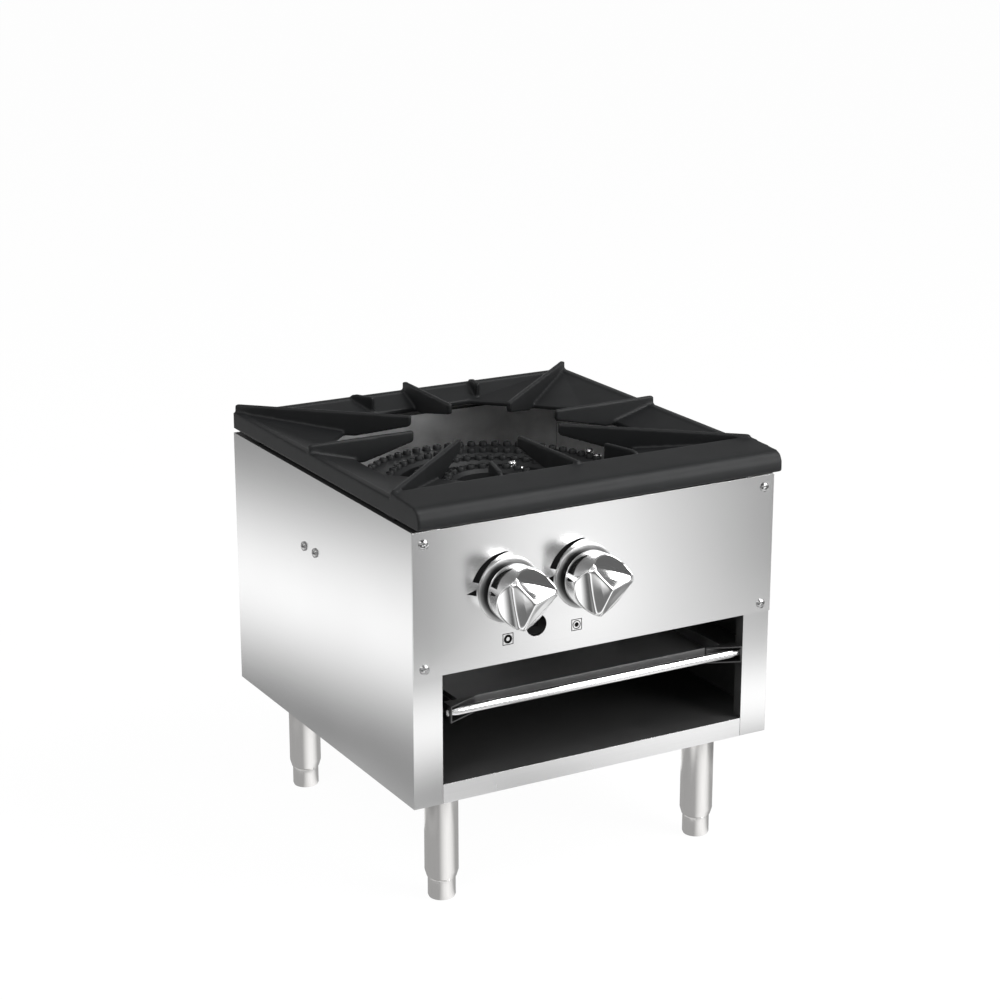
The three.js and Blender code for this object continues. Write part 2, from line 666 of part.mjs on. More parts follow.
function manifold() {
  const end = INLET_FRONT - GAP;
  const pipe = bentBar(
    [[MANIFOLD_LEFT, MANIFOLD_Y, MANIFOLD_Z], [SUPPLY_X, MANIFOLD_Y, MANIFOLD_Z], [SUPPLY_X, end, MANIFOLD_Z]],
    MANIFOLD_RADIUS,
    SUPPLY_BEND,
  );
  const bore = [end - PIPE_BORE_DEPTH, end + SLACK];
  return cut(pipe, [rodY(MANIFOLD_RADIUS - PIPE_WALL, SUPPLY_X, MANIFOLD_Z, bore, 12)]);
}

function gasInlet() {
  const body = rodY(INLET_RADIUS, SUPPLY_X, MANIFOLD_Z, [INLET_FRONT, INLET_BACK], 16);
  return cut(body, [rodY(INLET_BORE, SUPPLY_X, MANIFOLD_Z, [BODY_DEPTH, INLET_BACK + SLACK], 16)]);
}

function valve(x) {
  const nipple = rod(NIPPLE_RADIUS, MANIFOLD_TOP + GAP, KNOB_Z, 12).translate([x, MANIFOLD_Y, 0]);
  const body = joined([
    rodY(VALVE_RADIUS, x, KNOB_Z, [VALVE_FRONT + VALVE_NECK, VALVE_BACK], 16),
    rodY(VALVE_RADIUS - VALVE_STEP, x, KNOB_Z, [VALVE_FRONT, VALVE_BACK], 6),
    nipple,
  ]);
  const bore = [VALVE_FRONT - SLACK, VALVE_FRONT + STEM_IN_VALVE + GAP];
  return cut(body, [rodY(STEM_RADIUS + GAP, x, KNOB_Z, bore, 12)]);
}

function valveStem(x) {
  return rodY(STEM_RADIUS, x, KNOB_Z, [GAP - KNOB_BACK - KNOB_BORE, VALVE_FRONT + STEM_IN_VALVE], 12);
}

function gasJet(x) {
  const start = -(VALVE_BACK + GAP);
  const shoulder = start - JET_LENGTH;
  const tip = shoulder - JET_NOZZLE;
  const [narrow, wide] = JET_WAIST;
  const profile = [[0, tip], [narrow, tip], [wide, shoulder], [wide, start], [0, start]];
  const nozzle = turnedForward(profile, x, KNOB_Z, 12);
  const hex = turnedForward([[0, shoulder], [JET_HEX, shoulder], [JET_HEX, start], [0, start]], x, KNOB_Z, 6);
  return joined([nozzle, hex]);
}

function bezel(x) {
  const profile = [
    [2 * STEM_RADIUS, GAP],
    [BEZEL_RADIUS, GAP],
    [BEZEL_RADIUS, GAP + BEZEL_LIP],
    ...BEZEL_FLARE,
    [BEZEL_NECK, BEZEL_DEPTH],
    [2 * STEM_RADIUS, BEZEL_DEPTH],
    [2 * STEM_RADIUS, GAP],
  ];
  return turnedForward(profile, x, KNOB_Z, 28);
}

// What one facet takes off a knob: in front of a plane, and past the crest in front of a scoop's hollow.
function facetTool() {
  const far = 2 * KNOB_FRONT;
  const back = -2 * KNOB_RADIUS;
  const crest = new THREE.Vector2(CREST, KNOB_FRONT - FACET_FALL * CREST);
  const rim = new THREE.Vector2(KNOB_RADIUS, KNOB_SKIRT);
  const half = rim.clone().sub(crest).multiplyScalar(0.5);
  const off = Math.sqrt(SCOOP_HOLLOW ** 2 - half.lengthSq()) / half.length();
  const axis = crest.clone().add(half).add(new THREE.Vector2(-half.y, half.x).multiplyScalar(off));
  const start = crest.clone().sub(axis).angle();
  const turn = rim.clone().sub(axis).angle() - start;
  const outline = new THREE.Shape();
  outline.moveTo(back, KNOB_FRONT - FACET_FALL * back);
  outline.lineTo(crest.x, crest.y);
  for (let i = 1; i <= SCOOP_STEPS; i++) {
    const angle = start + (turn * i) / SCOOP_STEPS;
    outline.lineTo(axis.x + SCOOP_HOLLOW * Math.cos(angle), axis.y + SCOOP_HOLLOW * Math.sin(angle));
  }
  outline.lineTo(far, KNOB_SKIRT);
  outline.lineTo(far, far);
  outline.lineTo(back, far);
  outline.closePath();
  const length = 4 * KNOB_RADIUS;
  const tool = new THREE.ExtrudeGeometry(outline, { depth: length, bevelEnabled: false, steps: 1 });
  return tool.translate(0, 0, -length / 2).rotateX(Math.PI);
}

// A round skirt under a low dome. Three facets, each with a scoop at its foot, leave a blunt pyramid.
function knob(x) {
  const profile = [
    [0, KNOB_BACK],
    [KNOB_RADIUS - KNOB_TAPER, KNOB_BACK],
    [KNOB_RADIUS, KNOB_SKIRT],
    [KNOB_RADIUS - KNOB_SHOULDER[0], KNOB_SKIRT + KNOB_SHOULDER[1]],
    ...KNOB_DOME.map(([share, drop]) => [KNOB_RADIUS * share, KNOB_FRONT - drop]),
    [0, KNOB_FRONT],
  ];
  const facets = KNOB_FACETS.map((degrees) =>
    solid(facetTool().rotateY(-THREE.MathUtils.degToRad(degrees)).translate(x, 0, KNOB_Z)),
  );
  const bore = rodY(STEM_RADIUS + GAP, x, KNOB_Z, [-KNOB_BACK - KNOB_BORE, SLACK - KNOB_BACK], 12);
  return cut(turnedForward(profile, x, KNOB_Z, 36), [...facets, bore]);
}

function pilotValve() {
  const half = PILOT_VALVE_WIDTH / 2;
  const screwRun = [PILOT_VALVE_FRONT - PILOT_SCREW_REACH, PILOT_VALVE_FRONT + SLACK];
  return joined([
    block(
      [PILOT_HOLE_X - half, PILOT_HOLE_X + half],
      [PILOT_VALVE_FRONT, MANIFOLD_Y - MANIFOLD_RADIUS - GAP],
      [MANIFOLD_BOTTOM, PILOT_TUBE_Z + 2 * PILOT_TUBE_RADIUS],
    ),
    rodY(PILOT_SCREW, PILOT_HOLE_X, PILOT_HOLE_Z, screwRun, 10),
  ]);
}

function pilotTube(i) {
  const start = PILOT_HOLE_X + PILOT_VALVE_WIDTH / 2 + GAP;
  const z = PILOT_TUBE_Z;
  const points = [
    [start, PILOT_TUBE_Y[i], z],
    [PILOT_X[i], PILOT_TUBE_Y[i], z],
    [PILOT_X[i], PILOT_Y, z],
    [PILOT_X[i], PILOT_Y, SUPPORT_TOP],
  ];
  return bentBar(points, PILOT_TUBE_RADIUS, PILOT_BEND, 6);
}

function pilotBurner(i) {
  const x = PILOT_X[i];
  const foot = SUPPORT_TOP + GAP;
  const half = PILOT_RADIUS + PILOT_TAB;
  const hood = PILOT_TOP - PILOT_HOOD;
  const length = [SUPPORT_MIDDLE + SUPPORT_MARGIN, PILOT_Y + PILOT_RADIUS];
  return joined([
    block([x - half, x + half], length, [foot, foot + SHEET]),
    rod(PILOT_RADIUS, foot, hood + SHEET, 12).translate([x, PILOT_Y, 0]),
    block([x - PILOT_TAB, x + PILOT_TAB], [PILOT_Y - SHEET, PILOT_Y + SHEET], [hood, PILOT_TOP]),
  ]);
}

function gasLine() {
  const members = [mesh("gas_manifold", manifold(), DARK_STEEL), mesh("gas_inlet", gasInlet(), DARK_STEEL)];
  SIDES.forEach(([name], i) => {
    const x = KNOB_X[i];
    members.push(mesh(`${name}_gas_valve`, valve(x), BRASS));
    members.push(mesh(`${name}_valve_stem`, valveStem(x), BRASS));
    members.push(mesh(`${name}_gas_jet`, gasJet(x), BRASS));
    members.push(mesh(`${name}_bezel`, bezel(x), CHROME));
    members.push(mesh(`${name}_knob`, knob(x), CHROME));
  });
  members.push(mesh("pilot_valve", pilotValve(), BRASS));
  ["inner", "outer"].forEach((name, i) => {
    members.push(mesh(`pilot_tube_${name}`, pilotTube(i), DARK_STEEL));
    members.push(mesh(`pilot_burner_${name}`, pilotBurner(i), CHROME));
  });
  return group(...members);
}

// Drip tray

function dripTray() {
  const height = [TRAY_BOTTOM, TRAY_BOTTOM + TRAY_HEIGHT];
  const outer = block([-TRAY_HALF, TRAY_HALF], [TRAY_FRONT, TRAY_BACK], height);
  const hollow = block(
    [SHEET - TRAY_HALF, TRAY_HALF - SHEET],
    [TRAY_FRONT + SHEET, TRAY_BACK - SHEET],
    [TRAY_BOTTOM + SHEET, TRAY_BOTTOM + 2 * TRAY_HEIGHT],
  );
  return cut(outer, [hollow]);
}

function trayHandle() {
  const half = BRACKET_X - GAP;
  const profile = [
    [0, -half],
    [HANDLE_TIP, -half],
    [HANDLE_RADIUS, HANDLE_TAPER - half],
    [HANDLE_RADIUS, half - HANDLE_TAPER],
    [HANDLE_TIP, half],
    [0, half],
  ];
  const bar = solid(turned(profile, 16).rotateY(Math.PI / 2).translate(0, HANDLE_Y, HANDLE_Z));
  const ends = SIDES.map(([, side]) => [side * (half - BOLT_LENGTH), side * (half + SLACK)]);
  return cut(bar, ends.map((end) => screwHole(HANDLE_Y, HANDLE_Z, end)));
}

// A folded bracket: a leaf on the tray's front, a web that holds the handle, and two tapered flanges.
function handleBracket(side) {
  const leaf = [TRAY_FRONT - GAP - SHEET, TRAY_FRONT - GAP];
  const web = BRACKET_X + SHEET;
  const inner = TRAY_HALF - BRACKET_LEAF;
  const front = TRAY_FRONT - BRACKET_REACH;
  const flange = new THREE.Shape();
  flange.moveTo(side * web, front);
  flange.lineTo(side * web, leaf[1]);
  flange.lineTo(side * inner, leaf[1]);
  flange.lineTo(side * inner, leaf[0]);
  flange.closePath();
  const sheet = { depth: SHEET, bevelEnabled: false, steps: 1 };
  const levels = [BRACKET_Z[0], BRACKET_Z[1] - SHEET];
  const flanges = levels.map((z) => solid(new THREE.ExtrudeGeometry(flange, sheet).translate(0, 0, z)));
  const body = joined([
    sided(side, [inner, web], leaf, [TRAY_BOTTOM, BRACKET_Z[1]]),
    sided(side, [BRACKET_X, web], [front, leaf[1]], BRACKET_Z),
    ...flanges,
  ]);
  return cut(body, [screwHole(HANDLE_Y, HANDLE_Z, [side * (BRACKET_X - SHEET), side * (web + SHEET)])]);
}

function handleBolt(side) {
  const profile = [
    [0, SLACK - BOLT_LENGTH],
    [BOLT_SHANK, SLACK - BOLT_LENGTH],
    [BOLT_SHANK, 0],
    [BOLT_HEAD, 0],
    [BOLT_HEAD, BOLT_HEAD_HEIGHT * HEAD_SHOULDER],
    [BOLT_HEAD * HEAD_FLAT, BOLT_HEAD_HEIGHT],
    [0, BOLT_HEAD_HEIGHT],
  ];
  return solid(turned(profile, 10).rotateY((side * Math.PI) / 2));
}

// A shelf on the side panel that the tray slides on, with a guide beside the tray.
function trayRunner(side) {
  const length = [RUNNER_FRONT, BODY_DEPTH - RUNNER_BACK_ROOM];
  const guide = TRAY_HALF + TRAY_PLAY;
  return joined([
    sided(side, [TRAY_HALF - RUNNER_SHELF, INNER], length, [RUNNER_TOP - SHEET, RUNNER_TOP]),
    sided(side, [INNER - SHEET, INNER], length, [RUNNER_BOTTOM, RUNNER_TOP]),
    sided(side, [guide, guide + SHEET], length, [RUNNER_TOP - SHEET, RUNNER_TOP + RUNNER_GUIDE]),
  ]);
}

function trayAssembly() {
  const members = [mesh("drip_tray", dripTray(), DARK_STEEL), mesh("tray_handle", trayHandle(), CHROME)];
  for (const [name, side] of SIDES) {
    members.push(mesh(`handle_bracket_${name}`, handleBracket(side), DARK_STEEL));
    const place = [side * (BRACKET_X + SHEET + GAP), HANDLE_Y, HANDLE_Z];
    members.push(mesh(`handle_bolt_${name}`, handleBolt(side), CHROME, place));
    members.push(mesh(`tray_runner_${name}`, trayRunner(side), DARK_STEEL));
  }
  return group(...members);
}

// Legs, each about its own axis

function leg() {
  const bottom = FOOT_HEIGHT + GAP;
  const profile = [
    [0, LEG_TOP],
    [LEG_RADIUS - LEG_EDGE, LEG_TOP],
    [LEG_RADIUS, LEG_TOP - LEG_EDGE],
    [LEG_RADIUS, bottom + LEG_SHOULDER],
    [FOOT_RADIUS + FOOT_EDGE, bottom],
    [FOOT_STEM + GAP, bottom],
    [FOOT_STEM + GAP, bottom + LEG_BORE_DEPTH],
    [0, bottom + LEG_BORE_DEPTH],
  ];
  return solid(turned(profile.reverse(), 24));
}

function foot() {
  const profile = [
    [0, 0],
    [FOOT_RADIUS - FOOT_SOLE[0], 0],
    [FOOT_RADIUS, FOOT_SOLE[1]],
    [FOOT_RADIUS, FOOT_HEIGHT - FOOT_EDGE],
    [FOOT_RADIUS - FOOT_EDGE, FOOT_HEIGHT],
    [FOOT_STEM, FOOT_HEIGHT],
    [FOOT_STEM, FOOT_HEIGHT + FOOT_STEM_LENGTH],
    [0, FOOT_HEIGHT + FOOT_STEM_LENGTH],
  ];
  return solid(turned(profile, 16));
}

function legPlate() {
  const half = LEG_PLATE / 2;
  const inner = LEG_RADIUS + GAP;
  const outer = inner + COLLAR_WALL;
  const top = LEG_TOP + GAP;
  const low = top - COLLAR_HEIGHT;
  const high = top + SLACK; // into the plate
  const collar = turned([[inner, low], [outer, low], [outer, high], [inner, high], [inner, low]], 20);
  return joined([block([-half, half], [-half, half], [top, top + LEG_PLATE_THICK]), solid(collar)]);
}

function legs() {
  const members = [];
  for (const [name, side] of SIDES)
    [["front", LEG_Y[0]], ["rear", LEG_Y[1]]].forEach(([end, y]) => {
      const place = [side * LEG_X, y, 0];
      members.push(mesh(`leg_${end}_${name}`, leg(), STEEL, place));
      members.push(mesh(`foot_${end}_${name}`, foot(), STEEL, place));
      members.push(mesh(`leg_plate_${end}_${name}`, legPlate(), DARK_STEEL, place));
    });
  return group(...members);
}

// Grate

// A plate that falls from the rim to an eight-sided opening.
function dishedPlate() {
  const edge = HALF - RIM_WALL / 2;
  const outline = new THREE.Shape();
  outline.moveTo(-edge, NOSE_BACK - RIM_WALL);
  outline.lineTo(edge, NOSE_BACK - RIM_WALL);
  outline.lineTo(edge, BODY_DEPTH - RIM_WALL / 2);
  outline.lineTo(-edge, BODY_DEPTH - RIM_WALL / 2);
  outline.closePath();
  const opening = new THREE.Path();
  openingCorners().forEach(([x, y], i) => opening[i ? "lineTo" : "moveTo"](x, y));
  opening.closePath();
  outline.holes.push(opening);
  const plate = new THREE.ExtrudeGeometry(outline, { depth: PLATE_THICK, bevelEnabled: false, steps: 1 });
  const at = plate.attributes.position;
  const reach = OPENING_APOTHEM / Math.cos(Math.PI / 8) + SLACK;
  for (let i = 0; i < at.count; i++) {
    const onOpening = Math.hypot(at.getX(i), at.getY(i) - OPENING_Y) < reach;
    at.setZ(i, at.getZ(i) + RIM_TOP - PLATE_THICK - (onOpening ? PLATE_DROP : 0));
  }
  return solid(plate);
}

function openingCorners() {
  const reach = OPENING_APOTHEM / Math.cos(Math.PI / 8);
  return Array.from({ length: 8 }, (_, i) => {
    const angle = (Math.PI / 4) * (i + 0.5);
    return [reach * Math.cos(angle), OPENING_Y + reach * Math.sin(angle)];
  });
}

// A blade on edge from root to tip. Its outline is [distance along, height] pairs.
function blade(root, tip, thickness, outlineOf) {
  const run = new THREE.Vector2(tip[0] - root[0], tip[1] - root[1]);
  const outline = new THREE.Shape();
  outlineOf(outline, run.length());
  outline.closePath();
  const sheet = { depth: thickness, bevelEnabled: false, steps: 1, curveSegments: 3 };
  const side = new THREE.ExtrudeGeometry(outline, sheet);
  side.translate(0, 0, -thickness / 2).rotateX(Math.PI / 2).rotateZ(run.angle());
  return solid(side.translate(root[0], root[1], 0));
}

// Level on top, deep at the root, and drawn up from the edge of the opening to a blunt tip.
function fin(root, tip, overPlate) {
  const foot = GRATE_BOTTOM + FIN_FOOT;
  const under = FIN_TOP - FIN_TIP_DEPTH;
  return blade(root, tip, FIN_THICK, (outline, length) => {
    outline.moveTo(0, foot);
    outline.lineTo(overPlate, foot);
    outline.lineTo(length - FIN_TIP_ROUND, under);
    outline.quadraticCurveTo(length, under, length, under + FIN_TIP_ROUND);
    outline.lineTo(length, FIN_TOP);
    outline.lineTo(FIN_ROOT_ROUND, FIN_TOP);
    outline.quadraticCurveTo(0, FIN_TOP, 0, FIN_TOP - FIN_ROOT_ROUND);
  });
}

// A fin from a root on the rim to a tip measured from the middle of the fins.
function finTo(root, [tipX, tipY]) {
  const overPlate = Math.hypot(root[0], root[1] - OPENING_Y) - OPENING_APOTHEM + FIN_OVER_PLATE;
  return fin(root, [FIN_CENTRE[0] + tipX, FIN_CENTRE[1] + tipY], overPlate);
}

// A lower blade that rises from the plate at its root and ends square.
function rib(root, tip) {
  const foot = GRATE_BOTTOM + RIB_FOOT;
  const top = RIM_TOP + RIB_RISE;
  return blade(root, tip, RIB_THICK, (outline, length) => {
    outline.moveTo(0, foot);
    outline.lineTo(length, foot);
    outline.lineTo(length, top - RIB_TIP_ROUND);
    outline.quadraticCurveTo(length, top, length - RIB_TIP_ROUND, top);
    outline.lineTo(RIB_ROOT_ROUND, top);
    outline.quadraticCurveTo(0, top, 0, top - RIB_ROOT_ROUND);
  });
}

// The rounded rail along the front.
function noseRail() {
  const high = NOSE_TOP - NOSE_SLOPE;
  const profile = new THREE.Shape();
  profile.moveTo(NOSE_BACK, GRATE_BOTTOM);
  profile.lineTo(NOSE_BACK, NOSE_TOP);
  profile.lineTo(NOSE_FRONT + NOSE_ROUND, high);
  profile.quadraticCurveTo(NOSE_FRONT, high, NOSE_FRONT, high - NOSE_ROUND);
  profile.lineTo(NOSE_FRONT, GRATE_BOTTOM + NOSE_CHAMFER);
  profile.lineTo(NOSE_FRONT + NOSE_CHAMFER, GRATE_BOTTOM);
  profile.closePath();
  const length = { depth: BODY_WIDTH, bevelEnabled: false, steps: 1, curveSegments: 6 };
  const rail = new THREE.ExtrudeGeometry(profile, length);
  rail.translate(0, 0, -HALF).rotateX(Math.PI / 2).rotateZ(Math.PI / 2);
  const inner = HALF - RIM_WALL;
  const height = [GRATE_BOTTOM - SLACK, RIM_TOP - PLATE_THICK];
  return cut(solid(rail), [block([-inner, inner], [RIM_WALL, NOSE_BACK + SLACK], height)]);
}

// A wall round three sides. The rail closes the fourth.
function grateRim() {
  const inner = HALF - RIM_WALL;
  const outer = block([-HALF, HALF], [NOSE_BACK - SLACK, BODY_DEPTH], [GRATE_BOTTOM, RIM_TOP]);
  const height = [GRATE_BOTTOM - SLACK, RIM_TOP + SLACK];
  return cut(outer, [block([-inner, inner], [NOSE_BACK - 2 * SLACK, BODY_DEPTH - RIM_WALL], height)]);
}

function grateFins() {
  const square = HALF - SQUARE_INSET;
  const wide = HALF - ROOT_INSET;
  const corners = [NOSE_BACK - 2 * ROOT_INSET, BODY_DEPTH - ROOT_INSET];
  const [frontTip, backTip] = FRONT_AND_BACK_TIPS;
  return [
    finTo([0, corners[0]], [0, frontTip]),
    finTo([0, BODY_DEPTH - SQUARE_INSET], [0, backTip]),
    ...SIDES.flatMap(([, side]) => [
      finTo([side * square, OPENING_Y], [side * SIDE_TIP[0], SIDE_TIP[1]]),
      ...corners.map((y, i) => finTo([side * wide, y], [side * CORNER_TIPS[i][0], CORNER_TIPS[i][1]])),
    ]),
  ];
}

function grateRibs() {
  const backTip = OPENING_Y + OPENING_APOTHEM + BACK_RIB_REACH;
  const back = BACK_RIB_ROOTS.map((x, i) => rib([x, BODY_DEPTH - ROOT_INSET], [BACK_RIB_TIPS[i], backTip]));
  const [root, tip] = FRONT_RIB;
  const front = SIDES.map(([, side]) => rib([side * root[0], root[1]], [side * tip[0], tip[1]]));
  return [...back, ...front];
}

// Pads under the plate that stand on the side panels.
function gratePads() {
  const out = HALF - PAD_INSET;
  const starts = [PAD_FROM_END, BODY_DEPTH - PAD_FROM_END - PAD_SIZE];
  const height = [BODY_TOP + GAP, RIM_TOP - PLATE_THICK];
  return SIDES.flatMap(([, side]) =>
    starts.map((y) => sided(side, [out - PAD_SIZE, out], [y, y + PAD_SIZE], height)),
  );
}

function grate() {
  return joined([grateRim(), noseRail(), dishedPlate(), ...grateFins(), ...grateRibs(), ...gratePads()]);
}

const range = group(casing(), inside(), burners(), gasLine(), trayAssembly(), legs());
range.add(mesh("top_grate", grate(), IRON));
range.position.y = -CENTRE_Y;

export default group(range);
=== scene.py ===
"""A stock pot range in brushed steel, cast iron and chrome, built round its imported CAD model.

Metres. X is to the right, Y goes to the back, Z is up from the floor. The tables of small sizes
and the knobs' sizes are in millimetres.
"""

import math

import bpy
from mathutils import Matrix, Vector


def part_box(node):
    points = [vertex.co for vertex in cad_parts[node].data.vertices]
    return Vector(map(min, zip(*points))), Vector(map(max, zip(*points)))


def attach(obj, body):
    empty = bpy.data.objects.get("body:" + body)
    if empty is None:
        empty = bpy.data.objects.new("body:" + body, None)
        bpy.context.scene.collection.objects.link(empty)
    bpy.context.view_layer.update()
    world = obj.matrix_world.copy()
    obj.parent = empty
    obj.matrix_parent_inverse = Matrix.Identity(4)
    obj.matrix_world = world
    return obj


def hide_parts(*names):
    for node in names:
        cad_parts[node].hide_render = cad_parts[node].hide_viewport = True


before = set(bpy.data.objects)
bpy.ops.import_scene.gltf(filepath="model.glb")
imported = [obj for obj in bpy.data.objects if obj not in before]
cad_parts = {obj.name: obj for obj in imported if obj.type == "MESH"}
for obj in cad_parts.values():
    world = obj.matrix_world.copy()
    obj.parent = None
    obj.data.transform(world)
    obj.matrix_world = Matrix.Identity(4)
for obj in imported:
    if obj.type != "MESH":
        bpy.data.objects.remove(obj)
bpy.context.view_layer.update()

MM = 0.001
GAP = 0.3 * MM  # between pieces that touch, as in the CAD model
SIDES = (("left", -1), ("right", 1))  # each side's name, and its sign along X

# Where the body is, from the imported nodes
PANEL_LOW, PANEL_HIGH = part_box("control_panel")
FRONT = PANEL_LOW.y
BODY_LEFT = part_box("left_side_panel")[0].x
BURNER_CENTRE_Y = FRONT + 240 * MM

QUARTER_TURN = math.radians(90)


# Modelling

SHARP = 30  # degrees between two faces from which their edge counts as sharp
MERGE = 1e-6  # points of a turned piece closer than this are one
CAD_MERGE = 2e-6
FLAT = 0.5  # degrees between faces of the CAD mesh that still make one flat face
BEVEL_SEGMENTS = 2


def in_mm(pairs):
    """Pairs of millimetres, in metres."""
    return [(first * MM, second * MM) for first, second in pairs]


def middle(node):
    """The middle of a CAD node's box, as x, y and z."""
    low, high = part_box(node)
    return [(a + b) / 2 for a, b in zip(low, high)]


def deselect():
    bpy.ops.object.select_all(action="DESELECT")


def activate(piece):
    deselect()
    piece.select_set(True)
    bpy.context.view_layer.objects.active = piece


def linked(name, data):
    """A new object in the scene."""
    piece = bpy.data.objects.new(name, data)
    bpy.context.scene.collection.objects.link(piece)
    return piece


def into_edit(piece):
    activate(piece)
    bpy.ops.object.mode_set(mode="EDIT")
    bpy.ops.mesh.select_all(action="SELECT")


def out_of_edit():
    bpy.ops.object.mode_set(mode="OBJECT")


def turn_faces_outward():
    bpy.ops.mesh.select_all(action="SELECT")
    bpy.ops.mesh.normals_make_consistent(inside=False)


def settle(piece):
    """Puts a piece's place, turn and size into its mesh."""
    activate(piece)
    bpy.ops.object.transform_apply(location=True, rotation=True, scale=True)


def modified(piece, kind, **settings):
    """Applies a modifier to a piece."""
    activate(piece)
    modifier = piece.modifiers.new(kind.lower(), kind)
    for name, value in settings.items():
        setattr(modifier, name, value)
    bpy.ops.object.modifier_apply(modifier=modifier.name)


def smooth(piece, degrees=SHARP):
    activate(piece)
    bpy.ops.object.shade_smooth_by_angle(angle=math.radians(degrees))


def joined(pieces, name):
    deselect()
    for piece in pieces:
        piece.select_set(True)
    bpy.context.view_layer.objects.active = pieces[0]
    if len(pieces) > 1:
        bpy.ops.object.join()
    pieces[0].name = name
    return pieces[0]


def copied(piece, name):
    return linked(name, piece.data.copy())


def moved(piece, offset):
    piece.data.transform(Matrix.Translation(offset))
    return piece


def faced_forward(piece, at):
    """Turns a piece made along +Z to point at the front, and puts its origin at a place."""
    piece.data.transform(Matrix.Translation(at) @ Matrix.Rotation(QUARTER_TURN, 4, "X"))
    return piece


def faced_aside(piece, at, sign):
    """Turns a piece made along +Z to point to a side, and puts its origin at a place."""
    piece.data.transform(Matrix.Translation(at) @ Matrix.Rotation(QUARTER_TURN * sign, 4, "Y"))
    return piece


def turned(name, profile, segments, ring=False):
    """A piece turned about Z from (radius, height) pairs. A ring's pairs come back to the first."""
    radius, height = profile[0]
    deselect()
    bpy.ops.mesh.primitive_circle_add(vertices=segments, radius=radius, location=(0, 0, height))
    piece = bpy.context.active_object
    piece.name = name
    settle(piece)
    into_edit(piece)
    for (r0, z0), (r1, z1) in zip(profile, profile[1:]):
        bpy.ops.mesh.extrude_region_move(TRANSFORM_OT_translate={"value": (0, 0, z1 - z0)})
        bpy.ops.transform.resize(value=(r1 / r0, r1 / r0, 1))
    bpy.ops.mesh.select_all(action="SELECT")
    bpy.ops.mesh.remove_doubles(threshold=MERGE)
    if not ring:
        bpy.ops.mesh.fill_holes(sides=0)
    turn_faces_outward()
    out_of_edit()
    return piece


def block(name, low, high):
    low, high = Vector(low), Vector(high)
    deselect()
    bpy.ops.mesh.primitive_cube_add(size=1, location=(low + high) / 2)
    piece = bpy.context.active_object
    piece.name = name
    piece.scale = high - low
    settle(piece)
    return piece


def from_points(name, points, faces):
    mesh = bpy.data.meshes.new(name)
    mesh.from_pydata(points, [], faces)
    return linked(name, mesh)


def from_frame(node, name):
    """A merged copy of a CAD node's mesh, with flat faces in one piece."""
    piece = linked(name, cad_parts[node].data.copy())
    piece.data.materials.clear()
    into_edit(piece)
    bpy.ops.mesh.customdata_custom_splitnormals_clear()
    bpy.ops.mesh.remove_doubles(threshold=CAD_MERGE)
    bpy.ops.mesh.dissolve_limited(angle_limit=math.radians(FLAT))
    out_of_edit()
    return piece


def rounded(piece, width, degrees=SHARP):
    """Rounds a piece's edges over, as folded sheet and cut bar have them."""
    modified(
        piece,
        "BEVEL",
        width=width,
        segments=BEVEL_SEGMENTS,
        limit_method="ANGLE",
        angle_limit=math.radians(degrees),
        use_clamp_overlap=True,
    )
    smooth(piece)
    modified(piece, "WEIGHTED_NORMAL", mode="FACE_AREA", weight=80, keep_sharp=True)
    return piece


def softened(node, name, width, degrees=SHARP):
    """A CAD node with its edges rounded over."""
    return rounded(from_frame(node, name), width, degrees)


# Materials


def set_input(tree, node, name, value):
    """Links a node's input to another node's output, or else sets its value."""
    if isinstance(value, bpy.types.NodeSocket):
        tree.links.new(value, node.inputs[name])
    else:
        node.inputs[name].default_value = value


def add_node(tree, kind, inputs, **settings):
    node = tree.nodes.new(kind)
    for name, value in settings.items():
        setattr(node, name, value)
    for name, value in inputs.items():
        set_input(tree, node, name, value)
    return node


def grey(tone, warmth=0.0):
    return (tone * (1 + warmth), tone, tone * (1 - warmth))


def grey_ramp(tree, value, stops, warmth=0.0):
    """The grey at a value, from (position, tone) stops."""
    ramp = add_node(tree, "ShaderNodeValToRGB", {"Fac": value})
    elements = ramp.color_ramp.elements
    elements[0].position, elements[1].position = stops[0][0], stops[-1][0]
    elements[0].color = (*grey(stops[0][1], warmth), 1)
    elements[1].color = (*grey(stops[-1][1], warmth), 1)
    for position, tone in stops[1:-1]:
        elements.new(position).color = (*grey(tone, warmth), 1)
    return ramp.outputs["Color"]


class Field:
    """A number that varies from place to place. Sums on it add nodes to its tree."""

    def __init__(self, tree, socket):
        self.tree = tree
        self.socket = socket

    def calc(self, operation, *others):
        values = [other.socket if isinstance(other, Field) else other for other in others]
        inputs = dict(enumerate([self.socket, *values]))
        node = add_node(self.tree, "ShaderNodeMath", inputs, operation=operation)
        return Field(self.tree, node.outputs[0])

    def __add__(self, other):
        return self.calc("ADD", other)

    def __sub__(self, other):
        return self.calc("SUBTRACT", other)

    def __mul__(self, other):
        return self.calc("MULTIPLY", other)

    def __truediv__(self, other):
        return self.calc("DIVIDE", other)

    def most(self, other):
        return self.calc("MAXIMUM", other)

    def size(self):
        return self.calc("ABSOLUTE")

    def sign(self):
        return self.calc("SIGN")

    def root(self):
        return self.calc("SQRT")

    def share(self, start, end):
        """How far from one value to another it is, between 0 and 1."""
        inputs = {"Value": self.socket, "From Min": start, "From Max": end}
        spread = add_node(self.tree, "ShaderNodeMapRange", inputs)
        return Field(self.tree, spread.outputs["Result"])

    def toward(self, other, share):
        """Itself where a share is 0, and another where it is 1."""
        return self + (other - self) * share

    def through(self, stops, brightest):
        """Its tone in a table of (value, tone) that starts at 0. brightest tops every tone."""
        span = stops[-1][0]
        shares = [(value / span, tone / brightest) for value, tone in stops]
        tone = grey_ramp(self.tree, (self / span).socket, shares)
        return Field(self.tree, tone) * brightest


